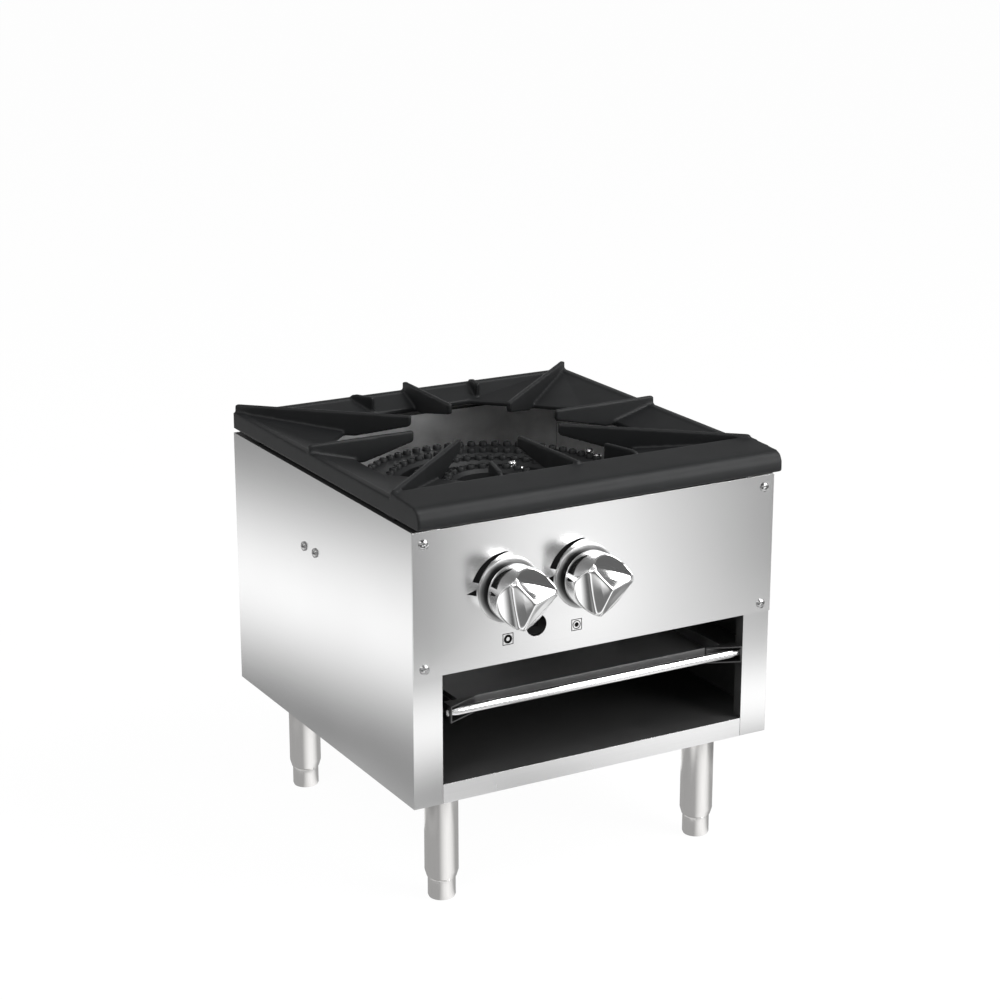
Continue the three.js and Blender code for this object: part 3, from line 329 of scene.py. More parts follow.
class Finish:
    """A material under way: its node tree, its shader, and places on the piece."""

    def __init__(self, name):
        self.material = bpy.data.materials.new(name)
        self.material.use_nodes = True
        self.tree = self.material.node_tree
        self.shader = self.tree.nodes["Principled BSDF"]
        self.place = add_node(self.tree, "ShaderNodeTexCoord", {}).outputs["Object"]

    def stretched(self, scale):
        inputs = {"Vector": self.place, "Scale": scale}
        return add_node(self.tree, "ShaderNodeMapping", inputs).outputs["Vector"]

    def noise(self, scale, detail, roughness=0.5, vector=None):
        inputs = {"Scale": scale, "Detail": detail, "Roughness": roughness}
        inputs["Vector"] = vector or self.place
        return add_node(self.tree, "ShaderNodeTexNoise", inputs).outputs["Fac"]

    def give(self, name, value):
        """Gives the shader one of its inputs."""
        set_input(self.tree, self.shader, name, value)

    def tint(self, value, stops, warmth=0.0):
        """Colours the piece from (position, tone) stops."""
        self.give("Base Color", grey_ramp(self.tree, value, stops, warmth))

    def roughen(self, value, rough, variation=0.15):
        """Makes the piece so rough, more or less by a share."""
        low, high = rough * (1 - variation), rough * (1 + variation)
        inputs = {"Value": value, "To Min": low, "To Max": high}
        spread = add_node(self.tree, "ShaderNodeMapRange", inputs)
        self.give("Roughness", spread.outputs["Result"])

    def bump(self, value, strength, distance):
        inputs = {"Height": value, "Strength": strength, "Distance": distance}
        self.give("Normal", add_node(self.tree, "ShaderNodeBump", inputs).outputs["Normal"])


# How a brushed grain is stretched: it runs along the axis with the small number
ALONG_X = (1, 60, 60)
ALONG_Y = (60, 1, 60)
ALONG_Z = (60, 60, 3)


def brushed(name, tone, rough, along, streak=0.03, warmth=0.0):
    """Steel with a fine grain along one axis."""
    finish = Finish(name)
    grain = finish.noise(scale=14, detail=6, roughness=0.65, vector=finish.stretched(along))
    finish.give("Metallic", 1.0)
    finish.tint(grain, [(0.2, tone - streak), (0.8, tone + streak)], warmth)
    finish.roughen(finish.noise(scale=5, detail=2), rough)
    finish.bump(grain, strength=0.02, distance=0.05 * MM)
    return finish.material


def polished(name, tone, rough):
    """Bright plating: a faint cloud in its gloss."""
    finish = Finish(name)
    cloud = finish.noise(scale=90, detail=3)
    finish.give("Metallic", 1.0)
    finish.tint(cloud, [(0.3, tone * 0.985), (0.7, tone)])
    finish.roughen(cloud, rough, variation=0.2)
    return finish.material


def cast(name, tone, rough, gloss, grain_size=900):
    """Cast iron: a dark, fine-grained skin with a broad, faint mottle."""
    finish = Finish(name)
    grain = finish.noise(scale=grain_size, detail=4, roughness=0.6)
    mottle = finish.noise(scale=35, detail=3)
    finish.give("Specular IOR Level", gloss)
    finish.tint(mottle, [(0.25, tone * 0.85), (0.75, tone * 1.2)], warmth=-0.06)
    finish.roughen(grain, rough)
    finish.bump(grain, strength=0.35, distance=0.25 * MM)
    return finish.material


def dull(name, tone, rough, metal=1.0, warmth=0.0, gloss=0.5):
    """Plain sheet or pipe, a little mottled."""
    finish = Finish(name)
    cloud = finish.noise(scale=40, detail=4)
    finish.give("Metallic", metal)
    finish.give("Specular IOR Level", gloss)
    finish.tint(cloud, [(0.25, tone * 0.88), (0.75, tone * 1.08)], warmth)
    finish.roughen(cloud, rough)
    return finish.material


BEZEL_SHADE_DARKEST, BEZEL_SHADE_FADED = 28 * MM, 37 * MM  # how far from the axis the painted shade is darkest, and where it has faded out


def painted_shade_bezel_finish(name, axis):
    """Satin plating with shade painted into its colour: near black towards the middle, where the
    knob shades it.
    """
    finish = Finish(name)
    inputs = {0: finish.place, 1: axis}
    away = add_node(finish.tree, "ShaderNodeVectorMath", inputs, operation="DISTANCE")
    outward = Field(finish.tree, away.outputs["Value"]).share(BEZEL_SHADE_DARKEST, BEZEL_SHADE_FADED)
    finish.give("Metallic", 1.0)
    finish.give("Roughness", 0.3)
    # Painted shade: near black by the knob, and the plating's own tone only at the rim
    finish.tint(outward.socket, [(0.0, 0.01), (0.35, 0.05), (0.75, 0.35), (1.0, 0.8)])
    return finish.material


CASING = brushed("brushed_casing_steel", tone=0.86, rough=0.2, along=ALONG_Y, streak=0.015)
PANEL = brushed("bright_panel_steel", tone=0.88, rough=0.23, along=ALONG_X, streak=0.012)
STRIP = brushed("matt_floor_steel", tone=0.95, rough=0.27, along=ALONG_X)
LEG = brushed("satin_leg_steel", tone=0.8, rough=0.22, along=ALONG_Z, warmth=0.015)
SCREW = polished("bright_screw_steel", tone=0.5, rough=0.14)
CHROME = polished("mirror_chrome", tone=0.86, rough=0.09)
ROD = polished("bright_rod_chrome", tone=0.88, rough=0.2)
IRON = cast("cast_grate_iron", tone=0.01, rough=0.5, gloss=0.28)
BURNER = cast("cast_burner_iron", tone=0.01, rough=0.55, gloss=0.35, grain_size=700)
# Painted shade: near black and not metal, for faces inside the body and under the grate, where the
# steel is only in shadow
PAINTED_SHADE_INSIDE = dull("painted_shade_inside_sheet", tone=0.035, rough=0.6, metal=0.0)
SHIELD = dull("aluminised_shield", tone=0.9, rough=0.35)
FRAME = dull("dull_frame_steel", tone=0.22, rough=0.5)
BRACKET = dull("dark_bracket_steel", tone=0.12, rough=0.4)
TRAY = dull("dark_tray_steel", tone=0.12, rough=0.4, metal=0.5)
PIPE = dull("black_pipe", tone=0.03, rough=0.5, metal=0.0)
TUBE = dull("aluminium_tube", tone=0.6, rough=0.35)
BRASS = dull("brass", tone=0.5, rough=0.35, warmth=0.35)
INK = dull("black_mark_ink", tone=0.004, rough=0.8, metal=0.0, gloss=0.1)


def finished(piece, material, body="casing", stands_for=()):
    """Gives a piece its finish, its body and the CAD nodes that it stands for."""
    piece.data.materials.clear()
    piece.data.materials.append(material)
    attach(piece, body)
    if stands_for:
        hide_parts(*stands_for)
    return piece


def second_finish(piece, material, chosen):
    """Gives some faces of a piece another finish. chosen takes a face."""
    piece.data.materials.append(material)
    last = len(piece.data.materials) - 1
    for face in piece.data.polygons:
        if chosen(face):
            face.material_index = last


# Casing

THICK_EDGE, THIN_EDGE = 0.5 * MM, 0.3 * MM  # how far the edges of folded sheet are rounded over
PANEL_EDGE = 0.6 * MM
PANEL_TOP = 2 * MM  # the band at the control panel's top that is raised
PANEL_OVER_POSTS = 1.3 * MM  # by so much, to cover the tops of the posts
FACING = 0.5  # a face looks along an axis when its normal goes further along it than this
POST_REACH = 0.1  # the posts are closer to the front than this


def looks_up(face):
    return face.normal.z > FACING


def looks_forward(face):
    return face.normal.y < -FACING


def looks_back(face):
    return face.normal.y > FACING


def hidden_inside(face, sign):
    """Whether a side panel's face looks into the body, or up at the grate."""
    behind_post = looks_back(face) and face.center.y < FRONT + POST_REACH
    return face.normal.x * sign < -FACING or looks_up(face) or behind_post


def make_control_panel():
    panel = from_frame("control_panel", "folded_control_panel")
    for vertex in panel.data.vertices:
        if vertex.co.z > PANEL_HIGH.z - PANEL_TOP:
            vertex.co.z += PANEL_OVER_POSTS
    finished(rounded(panel, PANEL_EDGE), PANEL, stands_for=["control_panel"])
    # Its back faces, inside the body, are painted with shade
    second_finish(panel, PAINTED_SHADE_INSIDE, looks_back)


def make_casing():
    # Faces that look into the body, or up under the grate, are painted with shade
    for side, sign in SIDES:
        node = f"{side}_side_panel"
        panel = softened(node, f"folded_{node}", THICK_EDGE)
        finished(panel, CASING, stands_for=[node])
        second_finish(panel, PAINTED_SHADE_INSIDE, lambda face: hidden_inside(face, sign))
    make_control_panel()
    back = softened("back_panel", "slotted_back_panel", THIN_EDGE)
    finished(back, CASING, stands_for=["back_panel"])
    second_finish(back, PAINTED_SHADE_INSIDE, lambda face: looks_forward(face) or looks_up(face))
    floor = softened("cabinet_floor", "folded_cabinet_floor", THICK_EDGE)
    finished(floor, STRIP, stands_for=["cabinet_floor"])
    second_finish(floor, PAINTED_SHADE_INSIDE, looks_up)
    for node in ("left_heat_shield", "right_heat_shield", "rear_heat_shield"):
        shield = softened(node, f"folded_{node}", THIN_EDGE)
        finished(shield, SHIELD, stands_for=[node])
        second_finish(shield, PAINTED_SHADE_INSIDE, looks_up)


# Screws and bolts

SCREW_RADIUS = 5.5 * MM
BOLT_RADIUS = 4.2 * MM
HEAD_HEIGHT = 2.6 * MM
HEAD_SEAT = 0.1 * MM
SHANK = (2 * MM, 9 * MM)  # radius and length

# A pan head from its seat to its top, in shares of its radius and height
PAN_HEAD = [(1, 0.25), (0.93, 0.6), (0.72, 0.88), (0.4, 1)]
SEAT_SHARE = 0.96
RECESS_REACH = 0.52
RECESS_HALF = 0.09
RECESS_BOTTOM = 0.3


def screw_head(name, radius):
    """A pan head with a cross recess, its shank behind it."""
    shank_radius, shank_length = SHANK
    profile = [(shank_radius, -shank_length), (shank_radius, -HEAD_SEAT)]
    profile.append((radius * SEAT_SHARE, -HEAD_SEAT))
    profile += [(radius * out, HEAD_HEIGHT * up) for out, up in PAN_HEAD]
    head = turned(name, profile, segments=32)
    reach, half = radius * RECESS_REACH, radius * RECESS_HALF
    for x, y in ((reach, half), (half, reach)):
        tool = block("recess_tool", (-x, -y, HEAD_HEIGHT * RECESS_BOTTOM), (x, y, HEAD_HEIGHT * 2))
        modified(head, "BOOLEAN", operation="DIFFERENCE", object=tool, solver="EXACT")
        bpy.data.objects.remove(tool)
    smooth(head)
    return head


def on_side(head, node, sign):
    """Puts a screw's head at the outer end of a CAD node."""
    low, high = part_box(node)
    _, y, z = middle(node)
    outer = low.x if sign < 0 else high.x
    return faced_aside(head, Vector((outer - sign * HEAD_HEIGHT, y, z)), sign)


def make_screws():
    model = screw_head("screw_model", SCREW_RADIUS)
    for side, sign in SIDES:
        for level in ("lower", "upper"):
            node = f"panel_screw_{level}_{side}"
            x, _, z = middle(node)
            screw = faced_forward(copied(model, f"cross_{node}"), Vector((x, FRONT - GAP, z)))
            finished(screw, SCREW, stands_for=[node])
        for i in (1, 2):
            node = f"side_screw_{side}_{i}"
            screw = on_side(copied(model, f"cross_{node}"), node, sign)
            finished(screw, SCREW, stands_for=[node])
        node = f"handle_bolt_{side}"
        bolt = on_side(screw_head(f"cross_{node}", BOLT_RADIUS), node, sign)
        finished(bolt, SCREW, "tray", [node])
    bpy.data.objects.remove(model)


# Knobs, in millimetres. A depth is how far forward of the control panel a point is.

KNOB_RADIUS = 33
KNOB_BACK = 9
KNOB_BACK_RADIUS = 31.5
KNOB_FRONT = 58
KNOB_DOME = [
    (0, 58.4), (8, 57.4), (20, 54.8), (26, 53), (30, 50), (32.5, 45.5), (33, 44.5),
]  # radius and depth
KNOB_BLEND = 0.7
EDGE_ROUND = 1.1
EDGE_STEPS = 5
BACK_ROUND = 1
SIDE_SHARES = (0.35, 0.7, 1.0)
BORE_RADIUS = 4.3
BORE_DEPTH = 20
KNOB_STEPS = 180
KNOB_RINGS = 60

# The three facets that meet at the tip, and the scoop past the crest of each
FACET_TURNS = (70, 190, 310)
FACET_HALF_ANGLE = 60
FACET_TIP = 2
FACET_FALL = 0.5
FACET_HOLLOW = 1.2
HOLLOW_FULL_AT = 20
CREST = 18.5
CREST_BLEND = 0.35
SCOOP_START = CREST - 4
SCOOP_SLOPE = 2
SCOOP_END = 31
SCOOP_HOLLOW = 60

BEZEL = [
    (8.2, 0.3), (36.4, 0.3), (37, 0.6), (36.9, 1.2), (36, 1.6), (33, 1.9), (30, 2.6),
    (27.5, 3.8), (25, 5.4), (23.2, 7), (22.4, 8), (8.2, 8), (8.2, 0.3),
]


def dome_depth(radius):
    """How far forward the knob's dome reaches, at a distance from its axis."""
    for (r0, d0), (r1, d1) in zip(KNOB_DOME, KNOB_DOME[1:]):
        if radius <= r1:
            return d0 + (d1 - d0) * (radius - r0) / (r1 - r0)
    return KNOB_DOME[-1][1]


def scoop_axis():
    """The middle of the scoop's round hollow: how far out it is, and how far forward."""
    crest = KNOB_FRONT - FACET_FALL * CREST
    run, fall = KNOB_RADIUS - CREST, crest - SCOOP_END
    chord = math.hypot(run, fall)
    off = math.sqrt(SCOOP_HOLLOW**2 - (chord / 2) ** 2)
    return CREST + run / 2 + off * fall / chord, crest - fall / 2 + off * run / chord


SCOOP_OUT, SCOOP_FORWARD = scoop_axis()


def facet_depth(along, across):
    """A hollow facet that falls from the tip, and past its crest the hollow of its scoop."""
    edge = math.tan(math.radians(FACET_HALF_ANGLE)) * max(along, 0) + FACET_TIP
    hollow = FACET_HOLLOW * max(0, 1 - (across / edge) ** 2) * min(1, edge / HOLLOW_FULL_AT)
    face = KNOB_FRONT - FACET_FALL * along - hollow
    if along < SCOOP_START:
        return face
    off = min(abs(SCOOP_OUT - along), SCOOP_HOLLOW - 0.01)
    scoop = SCOOP_FORWARD - math.sqrt(SCOOP_HOLLOW**2 - off**2)
    return soft_least([face, scoop + max(0, CREST - along) * SCOOP_SLOPE], CREST_BLEND)


def soft_least(values, blend):
    """The least of some values, with the corner where two meet rounded off."""
    low = min(values)
    return low - blend * math.log(sum(math.exp((low - value) / blend) for value in values))


def knob_depth(radius, angle):
    values = [dome_depth(radius)]
    for facet in FACET_TURNS:
        turn = angle - math.radians(facet)
        values.append(facet_depth(radius * math.cos(turn), radius * math.sin(turn)))
    return soft_least(values, KNOB_BLEND)


def knob_rows(angles):
    """The knob's skin as rows of (radius, depth): its front, its side, its back and its bore."""
    rim = KNOB_RADIUS - EDGE_ROUND
    rows = []
    for i in range(KNOB_RINGS):
        radius = rim * (i + 1) / KNOB_RINGS
        rows.append([(radius, knob_depth(radius, angle)) for angle in angles])
    edge = [depth for _, depth in rows[-1]]
    for i in range(EDGE_STEPS):
        turn = math.pi / 2 * (i + 1) / EDGE_STEPS
        out, back = EDGE_ROUND * math.sin(turn), EDGE_ROUND * (1 - math.cos(turn))
        rows.append([(rim + out, depth - back) for depth in edge])
    for share in SIDE_SHARES:
        radius = KNOB_RADIUS + (KNOB_BACK_RADIUS - KNOB_RADIUS) * share
        end = KNOB_BACK + BACK_ROUND + EDGE_ROUND
        rows.append([(radius, depth - EDGE_ROUND + (end - depth) * share) for depth in edge])
    for point in (
        (KNOB_BACK_RADIUS - BACK_ROUND, KNOB_BACK),
        (BORE_RADIUS, KNOB_BACK),
        (BORE_RADIUS, KNOB_BACK + BORE_DEPTH),
    ):
        rows.append([point] * len(angles))
    return rows


def knob_shape(name):
    """A knob that points along +Z, closed at the end of its bore."""
    steps = KNOB_STEPS
    angles = [2 * math.pi * j / steps for j in range(steps)]
    rows = knob_rows(angles)
    points = [Vector((0, 0, knob_depth(0, 0))) * MM]
    for row in rows:
        for (radius, depth), angle in zip(row, angles):
            points.append(Vector((radius * math.cos(angle), radius * math.sin(angle), depth)) * MM)
    starts = [1 + i * steps for i in range(len(rows))]
    faces = []
    for j in range(steps):
        k = (j + 1) % steps
        faces.append((0, 1 + j, 1 + k))
        faces += [(a + j, b + j, b + k, a + k) for a, b in zip(starts, starts[1:])]
    faces.append(tuple(starts[-1] + j for j in range(steps)))
    piece = from_points(name, points, faces)
    into_edit(piece)
    turn_faces_outward()
    out_of_edit()
    smooth(piece, degrees=35)
    return piece


def make_knobs():
    model = knob_shape("knob_model")
    for side, _ in SIDES:
        x, _, z = middle(f"{side}_bezel")
        axis = Vector((x, FRONT, z))
        knob = faced_forward(copied(model, f"faceted_{side}_knob"), axis)
        finished(knob, CHROME, f"{side}_control", [f"{side}_knob"])
        bezel = turned(f"flared_{side}_bezel", in_mm(BEZEL), segments=96, ring=True)
        smooth(faced_forward(bezel, axis), degrees=40)
        # The bezel's colour holds painted shade next to the knob
        finish = painted_shade_bezel_finish(f"{side}_painted_shade_bezel", axis)
        finished(bezel, finish, stands_for=[f"{side}_bezel"])
    bpy.data.objects.remove(model)


# Marks on the control panel

MARK_BACK = FRONT - 0.05 * MM
MARK_THICKNESS = 0.15 * MM

CRESCENT_RADIUS = 42.5 * MM
CRESCENT_WIDTH = 8.4 * MM
CRESCENT_TAPER = 0.65
CRESCENT_START = 161  # degrees, from the right
CRESCENT_SWEEP = 71
CRESCENT_STEPS = 28

TRIANGLE_BASE, TRIANGLE_TIP = 39.5 * MM, 51 * MM  # how far left of the knob's axis
TRIANGLE_LEVEL = 2.5 * MM
TRIANGLE_HALF = 3.6 * MM

ICON_HALF, ICON_LINE = 6.2 * MM, 0.7 * MM
ICON_RING = 5 * MM
ICON_DOT = 2.6 * MM
ICON_SEGMENTS = 32
# Name, place from the body's left and from the floor, the ring's inner radius, with a dot or not
ICONS = [
    ("outer_ring_icon", 113.9 * MM, 309.5 * MM, 2.2 * MM, False),
    ("inner_ring_icon", 199.6 * MM, 310.8 * MM, 4.2 * MM, True),
]


def flat_mark(name, outline):
    """A thin mark on the control panel from (x, z) corners."""
    corners = [(x, MARK_BACK, z) for x, z in outline]
    piece = from_points(name, corners, [list(range(len(corners)))])
    into_edit(piece)
    turn_faces_outward()
    bpy.ops.mesh.extrude_region_move(TRANSFORM_OT_translate={"value": (0, -MARK_THICKNESS, 0)})
    turn_faces_outward()
    out_of_edit()
    return finished(piece, INK)


def crescent(x, z):
    """A crescent round the upper left of a knob's axis, down to nothing at its top."""
    outer, inner = [], []
    for i in range(CRESCENT_STEPS + 1):
        share = i / CRESCENT_STEPS
        angle = math.radians(CRESCENT_START - CRESCENT_SWEEP * share)
        half = CRESCENT_WIDTH * (1 - share) ** CRESCENT_TAPER / 2
        for edge, radius in ((outer, CRESCENT_RADIUS + half), (inner, CRESCENT_RADIUS - half)):
            edge.append((x + radius * math.cos(angle), z + radius * math.sin(angle)))
    return outer + inner[-2::-1]


def make_marks():
    for side, _ in SIDES:
        x, _, z = middle(f"{side}_bezel")
        flat_mark(f"{side}_flame_crescent", crescent(x, z))
        base, tip, level = x - TRIANGLE_BASE, x - TRIANGLE_TIP, z + TRIANGLE_LEVEL
        corners = [(tip, level), (base, level - TRIANGLE_HALF), (base, level + TRIANGLE_HALF)]
        flat_mark(f"{side}_off_triangle", corners)


def icon_square(x, z):
    """The four bars of a thin square."""
    longer, shorter = ICON_HALF + ICON_LINE / 2, ICON_LINE / 2
    bars = []
    for sign in (-1, 1):
        for dx, dz, along, up in (
            (0, sign * ICON_HALF, longer, shorter),
            (sign * ICON_HALF, 0, shorter, longer),
        ):
            low = (x + dx - along, MARK_BACK - MARK_THICKNESS, z + dz - up)
            bars.append(block("bar", low, (x + dx + along, MARK_BACK, z + dz + up)))
    return bars


def make_icons():
    """A square round a thick ring for the outer burner, and one round a ring and a dot."""
    top = MARK_THICKNESS
    for name, from_left, z, hole, dotted in ICONS:
        x = BODY_LEFT + from_left
        at = Vector((x, MARK_BACK, z))
        parts = icon_square(x, z)
        ring = [(hole, 0), (ICON_RING, 0), (ICON_RING, top), (hole, top), (hole, 0)]
        parts.append(faced_forward(turned("ring", ring, ICON_SEGMENTS, ring=True), at))
        if dotted:
            dot = turned("dot", [(ICON_DOT, 0), (ICON_DOT, top)], ICON_SEGMENTS)
            parts.append(faced_forward(dot, at))
        finished(joined(parts, name), INK)


# Legs. The outlines are radius and height. A leg's starts inside the socket for its foot's stem.

LEG_OUTLINE = [
    (8.3, 105.3), (8.3, 25.3), (16.2, 25.3), (16.8, 25.8), (18.7, 32.2), (19, 33.4), (19, 150.5),
    (18.3, 151.9),
]
FOOT_OUTLINE = [
    (13, 0), (14.6, 0.6), (15.6, 3), (15.6, 23.6), (15.2, 24.6), (14.4, 25), (8, 25), (8, 94.4),
    (7.4, 95),
]
LEG_SEGMENTS = 72
ROUND_SHARP = 25
PLATE_EDGE = 0.4 * MM


def make_legs():
    leg = turned("leg_model", in_mm(LEG_OUTLINE), LEG_SEGMENTS)
    smooth(leg, ROUND_SHARP)
    foot = turned("foot_model", in_mm(FOOT_OUTLINE), LEG_SEGMENTS)
    smooth(foot, ROUND_SHARP)
    for end in ("front", "rear"):
        for side, _ in SIDES:
            node = f"leg_{end}_{side}"
            x, y, _ = middle(node)
            place = Vector((x, y, 0))
            piece = moved(copied(leg, f"round_{node}"), place)
            finished(piece, LEG, stands_for=[node])
            node = f"foot_{end}_{side}"
            piece = moved(copied(foot, f"round_{node}"), place)
            finished(piece, LEG, f"{end}_{side}_foot", [node])
            node = f"leg_plate_{end}_{side}"
            piece = softened(node, f"collared_{node}", PLATE_EDGE)
            finished(piece, FRAME, stands_for=[node])
    bpy.data.objects.remove(leg)
    bpy.data.objects.remove(foot)


# Drip tray

HANDLE_END = [(3.4, 0), (3.9, 0.4), (4.9, 8.4), (5, 9.4)]  # radius, and distance from the end


def make_tray():
    tray = softened("drip_tray", "folded_drip_tray", THICK_EDGE)
    finished(tray, TRAY, "tray", ["drip_tray"])
    low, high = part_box("tray_handle")
    half = (high.x - low.x) / 2
    start = [(radius, inset - half) for radius, inset in in_mm(HANDLE_END)]
    end = [(radius, -height) for radius, height in reversed(start)]
    bar = turned("round_tray_handle", start + end, segments=48)
    smooth(faced_aside(bar, Vector(middle("tray_handle")), 1), ROUND_SHARP)
    finished(bar, ROD, "tray", ["tray_handle"])
    for side, _ in SIDES:
        node = f"handle_bracket_{side}"
        bracket = softened(node, f"folded_{node}", THIN_EDGE)
        finished(bracket, BRACKET, "tray", [node])
        node = f"tray_runner_{side}"
        runner = softened(node, f"folded_{node}", THIN_EDGE)
        finished(runner, FRAME, stands_for=[node])


# Burners

# Each row of ports: its radius, and how many
PORT_ROWS = {
    "outer_burner": [(149, 64), (120, 52)],
    "inner_burner": [(88, 38), (51, 22)],
}
# A raised gas port: a short stud with a chamfer and a drilled hole
PORT = [(5.2, -1), (5, 3.6), (4, 4.9), (1.8, 5.2), (1.5, 2.6)]
CASTING_EDGE = 1.2 * MM


def make_burners():
    model = turned("port_model", in_mm(PORT), segments=10)
    smooth(model, degrees=40)
    for node, rows in PORT_ROWS.items():
        parts = [softened(node, f"ported_{node}", CASTING_EDGE, degrees=35)]
        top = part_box(node)[1].z
        for radius, count in rows:
            for i in range(count):
                angle = 2 * math.pi * (i + 0.5) / count
                x = radius * MM * math.cos(angle)
                y = BURNER_CENTRE_Y + radius * MM * math.sin(angle)
                parts.append(moved(copied(model, "port"), Vector((x, y, top))))
        finished(joined(parts, f"ported_{node}"), BURNER, stands_for=[node])
    bpy.data.objects.remove(model)


# Pilot burners

NUT = [(3.4, 0), (4.8, 0.6), (5.4, 2.2), (5.2, 4.2), (4.2, 5.4), (2.8, 5.8)]
NUT_PLACES = ((0, 0, 6), (8, -5, 12))  # how far right, back and below the hood's top
HOOD_DEPTH = 4.5 * MM  # from the hood's back to the nuts' middle


def make_pilots():
    """Each pilot's hood and tube, with two bright round nuts that show through the grate."""
    for node in ("pilot_burner_inner", "pilot_burner_outer"):
        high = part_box(node)[1]
        x, y = middle(node)[0], high.y - HOOD_DEPTH
        parts = [softened(node, f"hooded_{node}", THIN_EDGE)]
        for right, back, below in NUT_PLACES:
            nut = turned("nut", in_mm(NUT), segments=24)
            smooth(nut, degrees=60)
            parts.append(moved(nut, Vector((x + right * MM, y + back * MM, high.z - below * MM))))
        finished(joined(parts, f"hooded_{node}"), CHROME, stands_for=[node])


# Grate

GRATE_VOXEL = 1.4 * MM
GRATE_FACES_KEPT = 0.35


def make_grate():
    """The CAD grate with its ribs flowing into the plate, as a casting has them."""
    grate = from_frame("top_grate", "cast_top_grate")
    modified(grate, "REMESH", mode="VOXEL", voxel_size=GRATE_VOXEL)
    modified(grate, "SMOOTH", factor=0.5, iterations=3)
    modified(grate, "DECIMATE", ratio=GRATE_FACES_KEPT)
    activate(grate)
    bpy.ops.object.shade_smooth()
    finished(grate, IRON, "grate", ["top_grate"])


# What stays as the frame has it

FRAME_FINISHES = {
    "burner_support": FRAME,
    "front_cross_rail": FRAME,
    "air_shutter_outer": FRAME,
    "air_shutter_inner": FRAME,
    "gas_manifold": PIPE,
    "gas_inlet": PIPE,
    "pilot_valve": PIPE,
    "pilot_tube_inner": TUBE,
    "pilot_tube_outer": TUBE,
}


def dress_frame():
    finishes = dict(FRAME_FINISHES)
    for side, _ in SIDES:
        for part in ("gas_valve", "valve_stem", "gas_jet"):
            finishes[f"{side}_{part}"] = BRASS
    for node, material in finishes.items():
        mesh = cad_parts[node].data
        mesh.materials.clear()
        mesh.materials.append(material)


# The studio: the camera where the photograph was taken from, and the lamps

CAMERA_FROM_CORNER = Vector((-1.0710, -2.0777, 1.1845))  # from the body's front left corner
CAMERA_TURN = -29.49
CAMERA_TILT = 90 - 16.75
CAMERA_LENS = 85.66
CAMERA_SENSOR = 36

# Name, place, the point it faces, size and power
LAMPS = [
    ("key_softbox", (-2.2, -1.6, 2.4), (0, 0, 0.3), 1.6, 30),
    ("front_softbox", (1.6, -2.4, 1.4), (0, 0, 0.3), 1.6, 52),
    ("top_softbox", (1.3, -0.9, 2.6), (0, 0, 0.4), 1.2, 34),
]


def make_camera():
    camera = bpy.data.cameras.new("camera")
    camera.lens = CAMERA_LENS
    camera.sensor_width = CAMERA_SENSOR
    camera.clip_end = 50
    viewer = linked("camera", camera)
    viewer.location = Vector((BODY_LEFT, FRONT, 0)) + CAMERA_FROM_CORNER
    viewer.rotation_euler = (math.radians(CAMERA_TILT), 0, math.radians(CAMERA_TURN))
    bpy.context.scene.camera = viewer


def make_lamp(name, place, target, size, power):
    light = bpy.data.lights.new(name, "AREA")
    light.shape = "SQUARE"
    light.size = size
    light.energy = power
    holder = linked(name, light)
    holder.location = place
    toward = Vector(target) - Vector(place)
    holder.rotation_euler = toward.to_track_quat("-Z", "Y").to_euler()


def mixed_shader(tree, share, first, second):
    """The first shader where a share is 0, and the second where it is 1."""
    inputs = {"Fac": share, 1: first, 2: second}
    return add_node(tree, "ShaderNodeMixShader", inputs).outputs["Shader"]


# How bright the floor looks in a metal face, by metres from the body
BESIDE_BODY = [
    (0, 0.9), (0.03, 0.6), (0.05, 0.40), (0.10, 0.22), (0.14, 0.30), (0.21, 0.55), (0.29, 0.90),
    (0.38, 1.22), (0.42, 1.24), (0.52, 1.12), (0.63, 0.90), (0.74, 0.58), (0.87, 0.28),
    (1.5, 0.25),
]
AHEAD_OF_BODY = [
    (0, 0.6), (0.15, 0.5), (0.20, 0.3), (0.25, 0.1), (0.296, 0.14), (0.348, 0.5), (0.402, 1.08),
    (0.458, 1.45), (0.548, 1.3), (0.611, 0.96), (0.66, 0.55), (1.5, 0.3),
]
ACROSS_POOL = [
    (0, 0.18), (0.09, 0.5), (0.18, 0.94), (0.24, 1.34), (0.28, 1.56), (0.33, 1.4), (0.37, 1.1),
    (0.41, 0.87), (0.48, 0.7), (0.56, 0.55), (0.61, 0.41), (0.68, 0.24),
]
BRIGHTEST = 1.8

# The body on the floor, and how the bands round it lean
HALF_WIDTH, HALF_DEPTH = 0.2285, 0.23
CORNER = 0.12  # beside the body, the front and back fade out over this
SIDE_LEAN, SIDE_LEVEL = 0.27, 0.33
FRONT_LEAN = 0.28
SIDE_TO_FRONT = (0.0, 0.08)  # ahead of the body, from the side's bands to the front's

# The pool of light: where it starts, and how it slants across the floor
POOL_FROM, POOL_SLANT = 0.366, 0.54
POOL_AHEAD = (0.60, 0.66)

# The legs: how far to each side, the middle and half the spread of their rows, and their light
LEG_ASIDE = 0.1695
LEG_ROWS = (0.0165, 0.178)
LEG_SHADE, LEG_GLOW = 0.42, 0.72
LEG_LIGHT = (0.26, 0.966)  # the way the light lies from each leg, to the right and ahead
LEG_LIGHT_WIDTH = (0.55, 1.0)
LEG_REGION = (0.16, 0.26)  # outside the body, from the legs' glow to the bands
LEG_REGION_SIDES = 1.8
LEG_CENTRE = 1 * MM  # closer to a leg's middle than this, its light has no direction


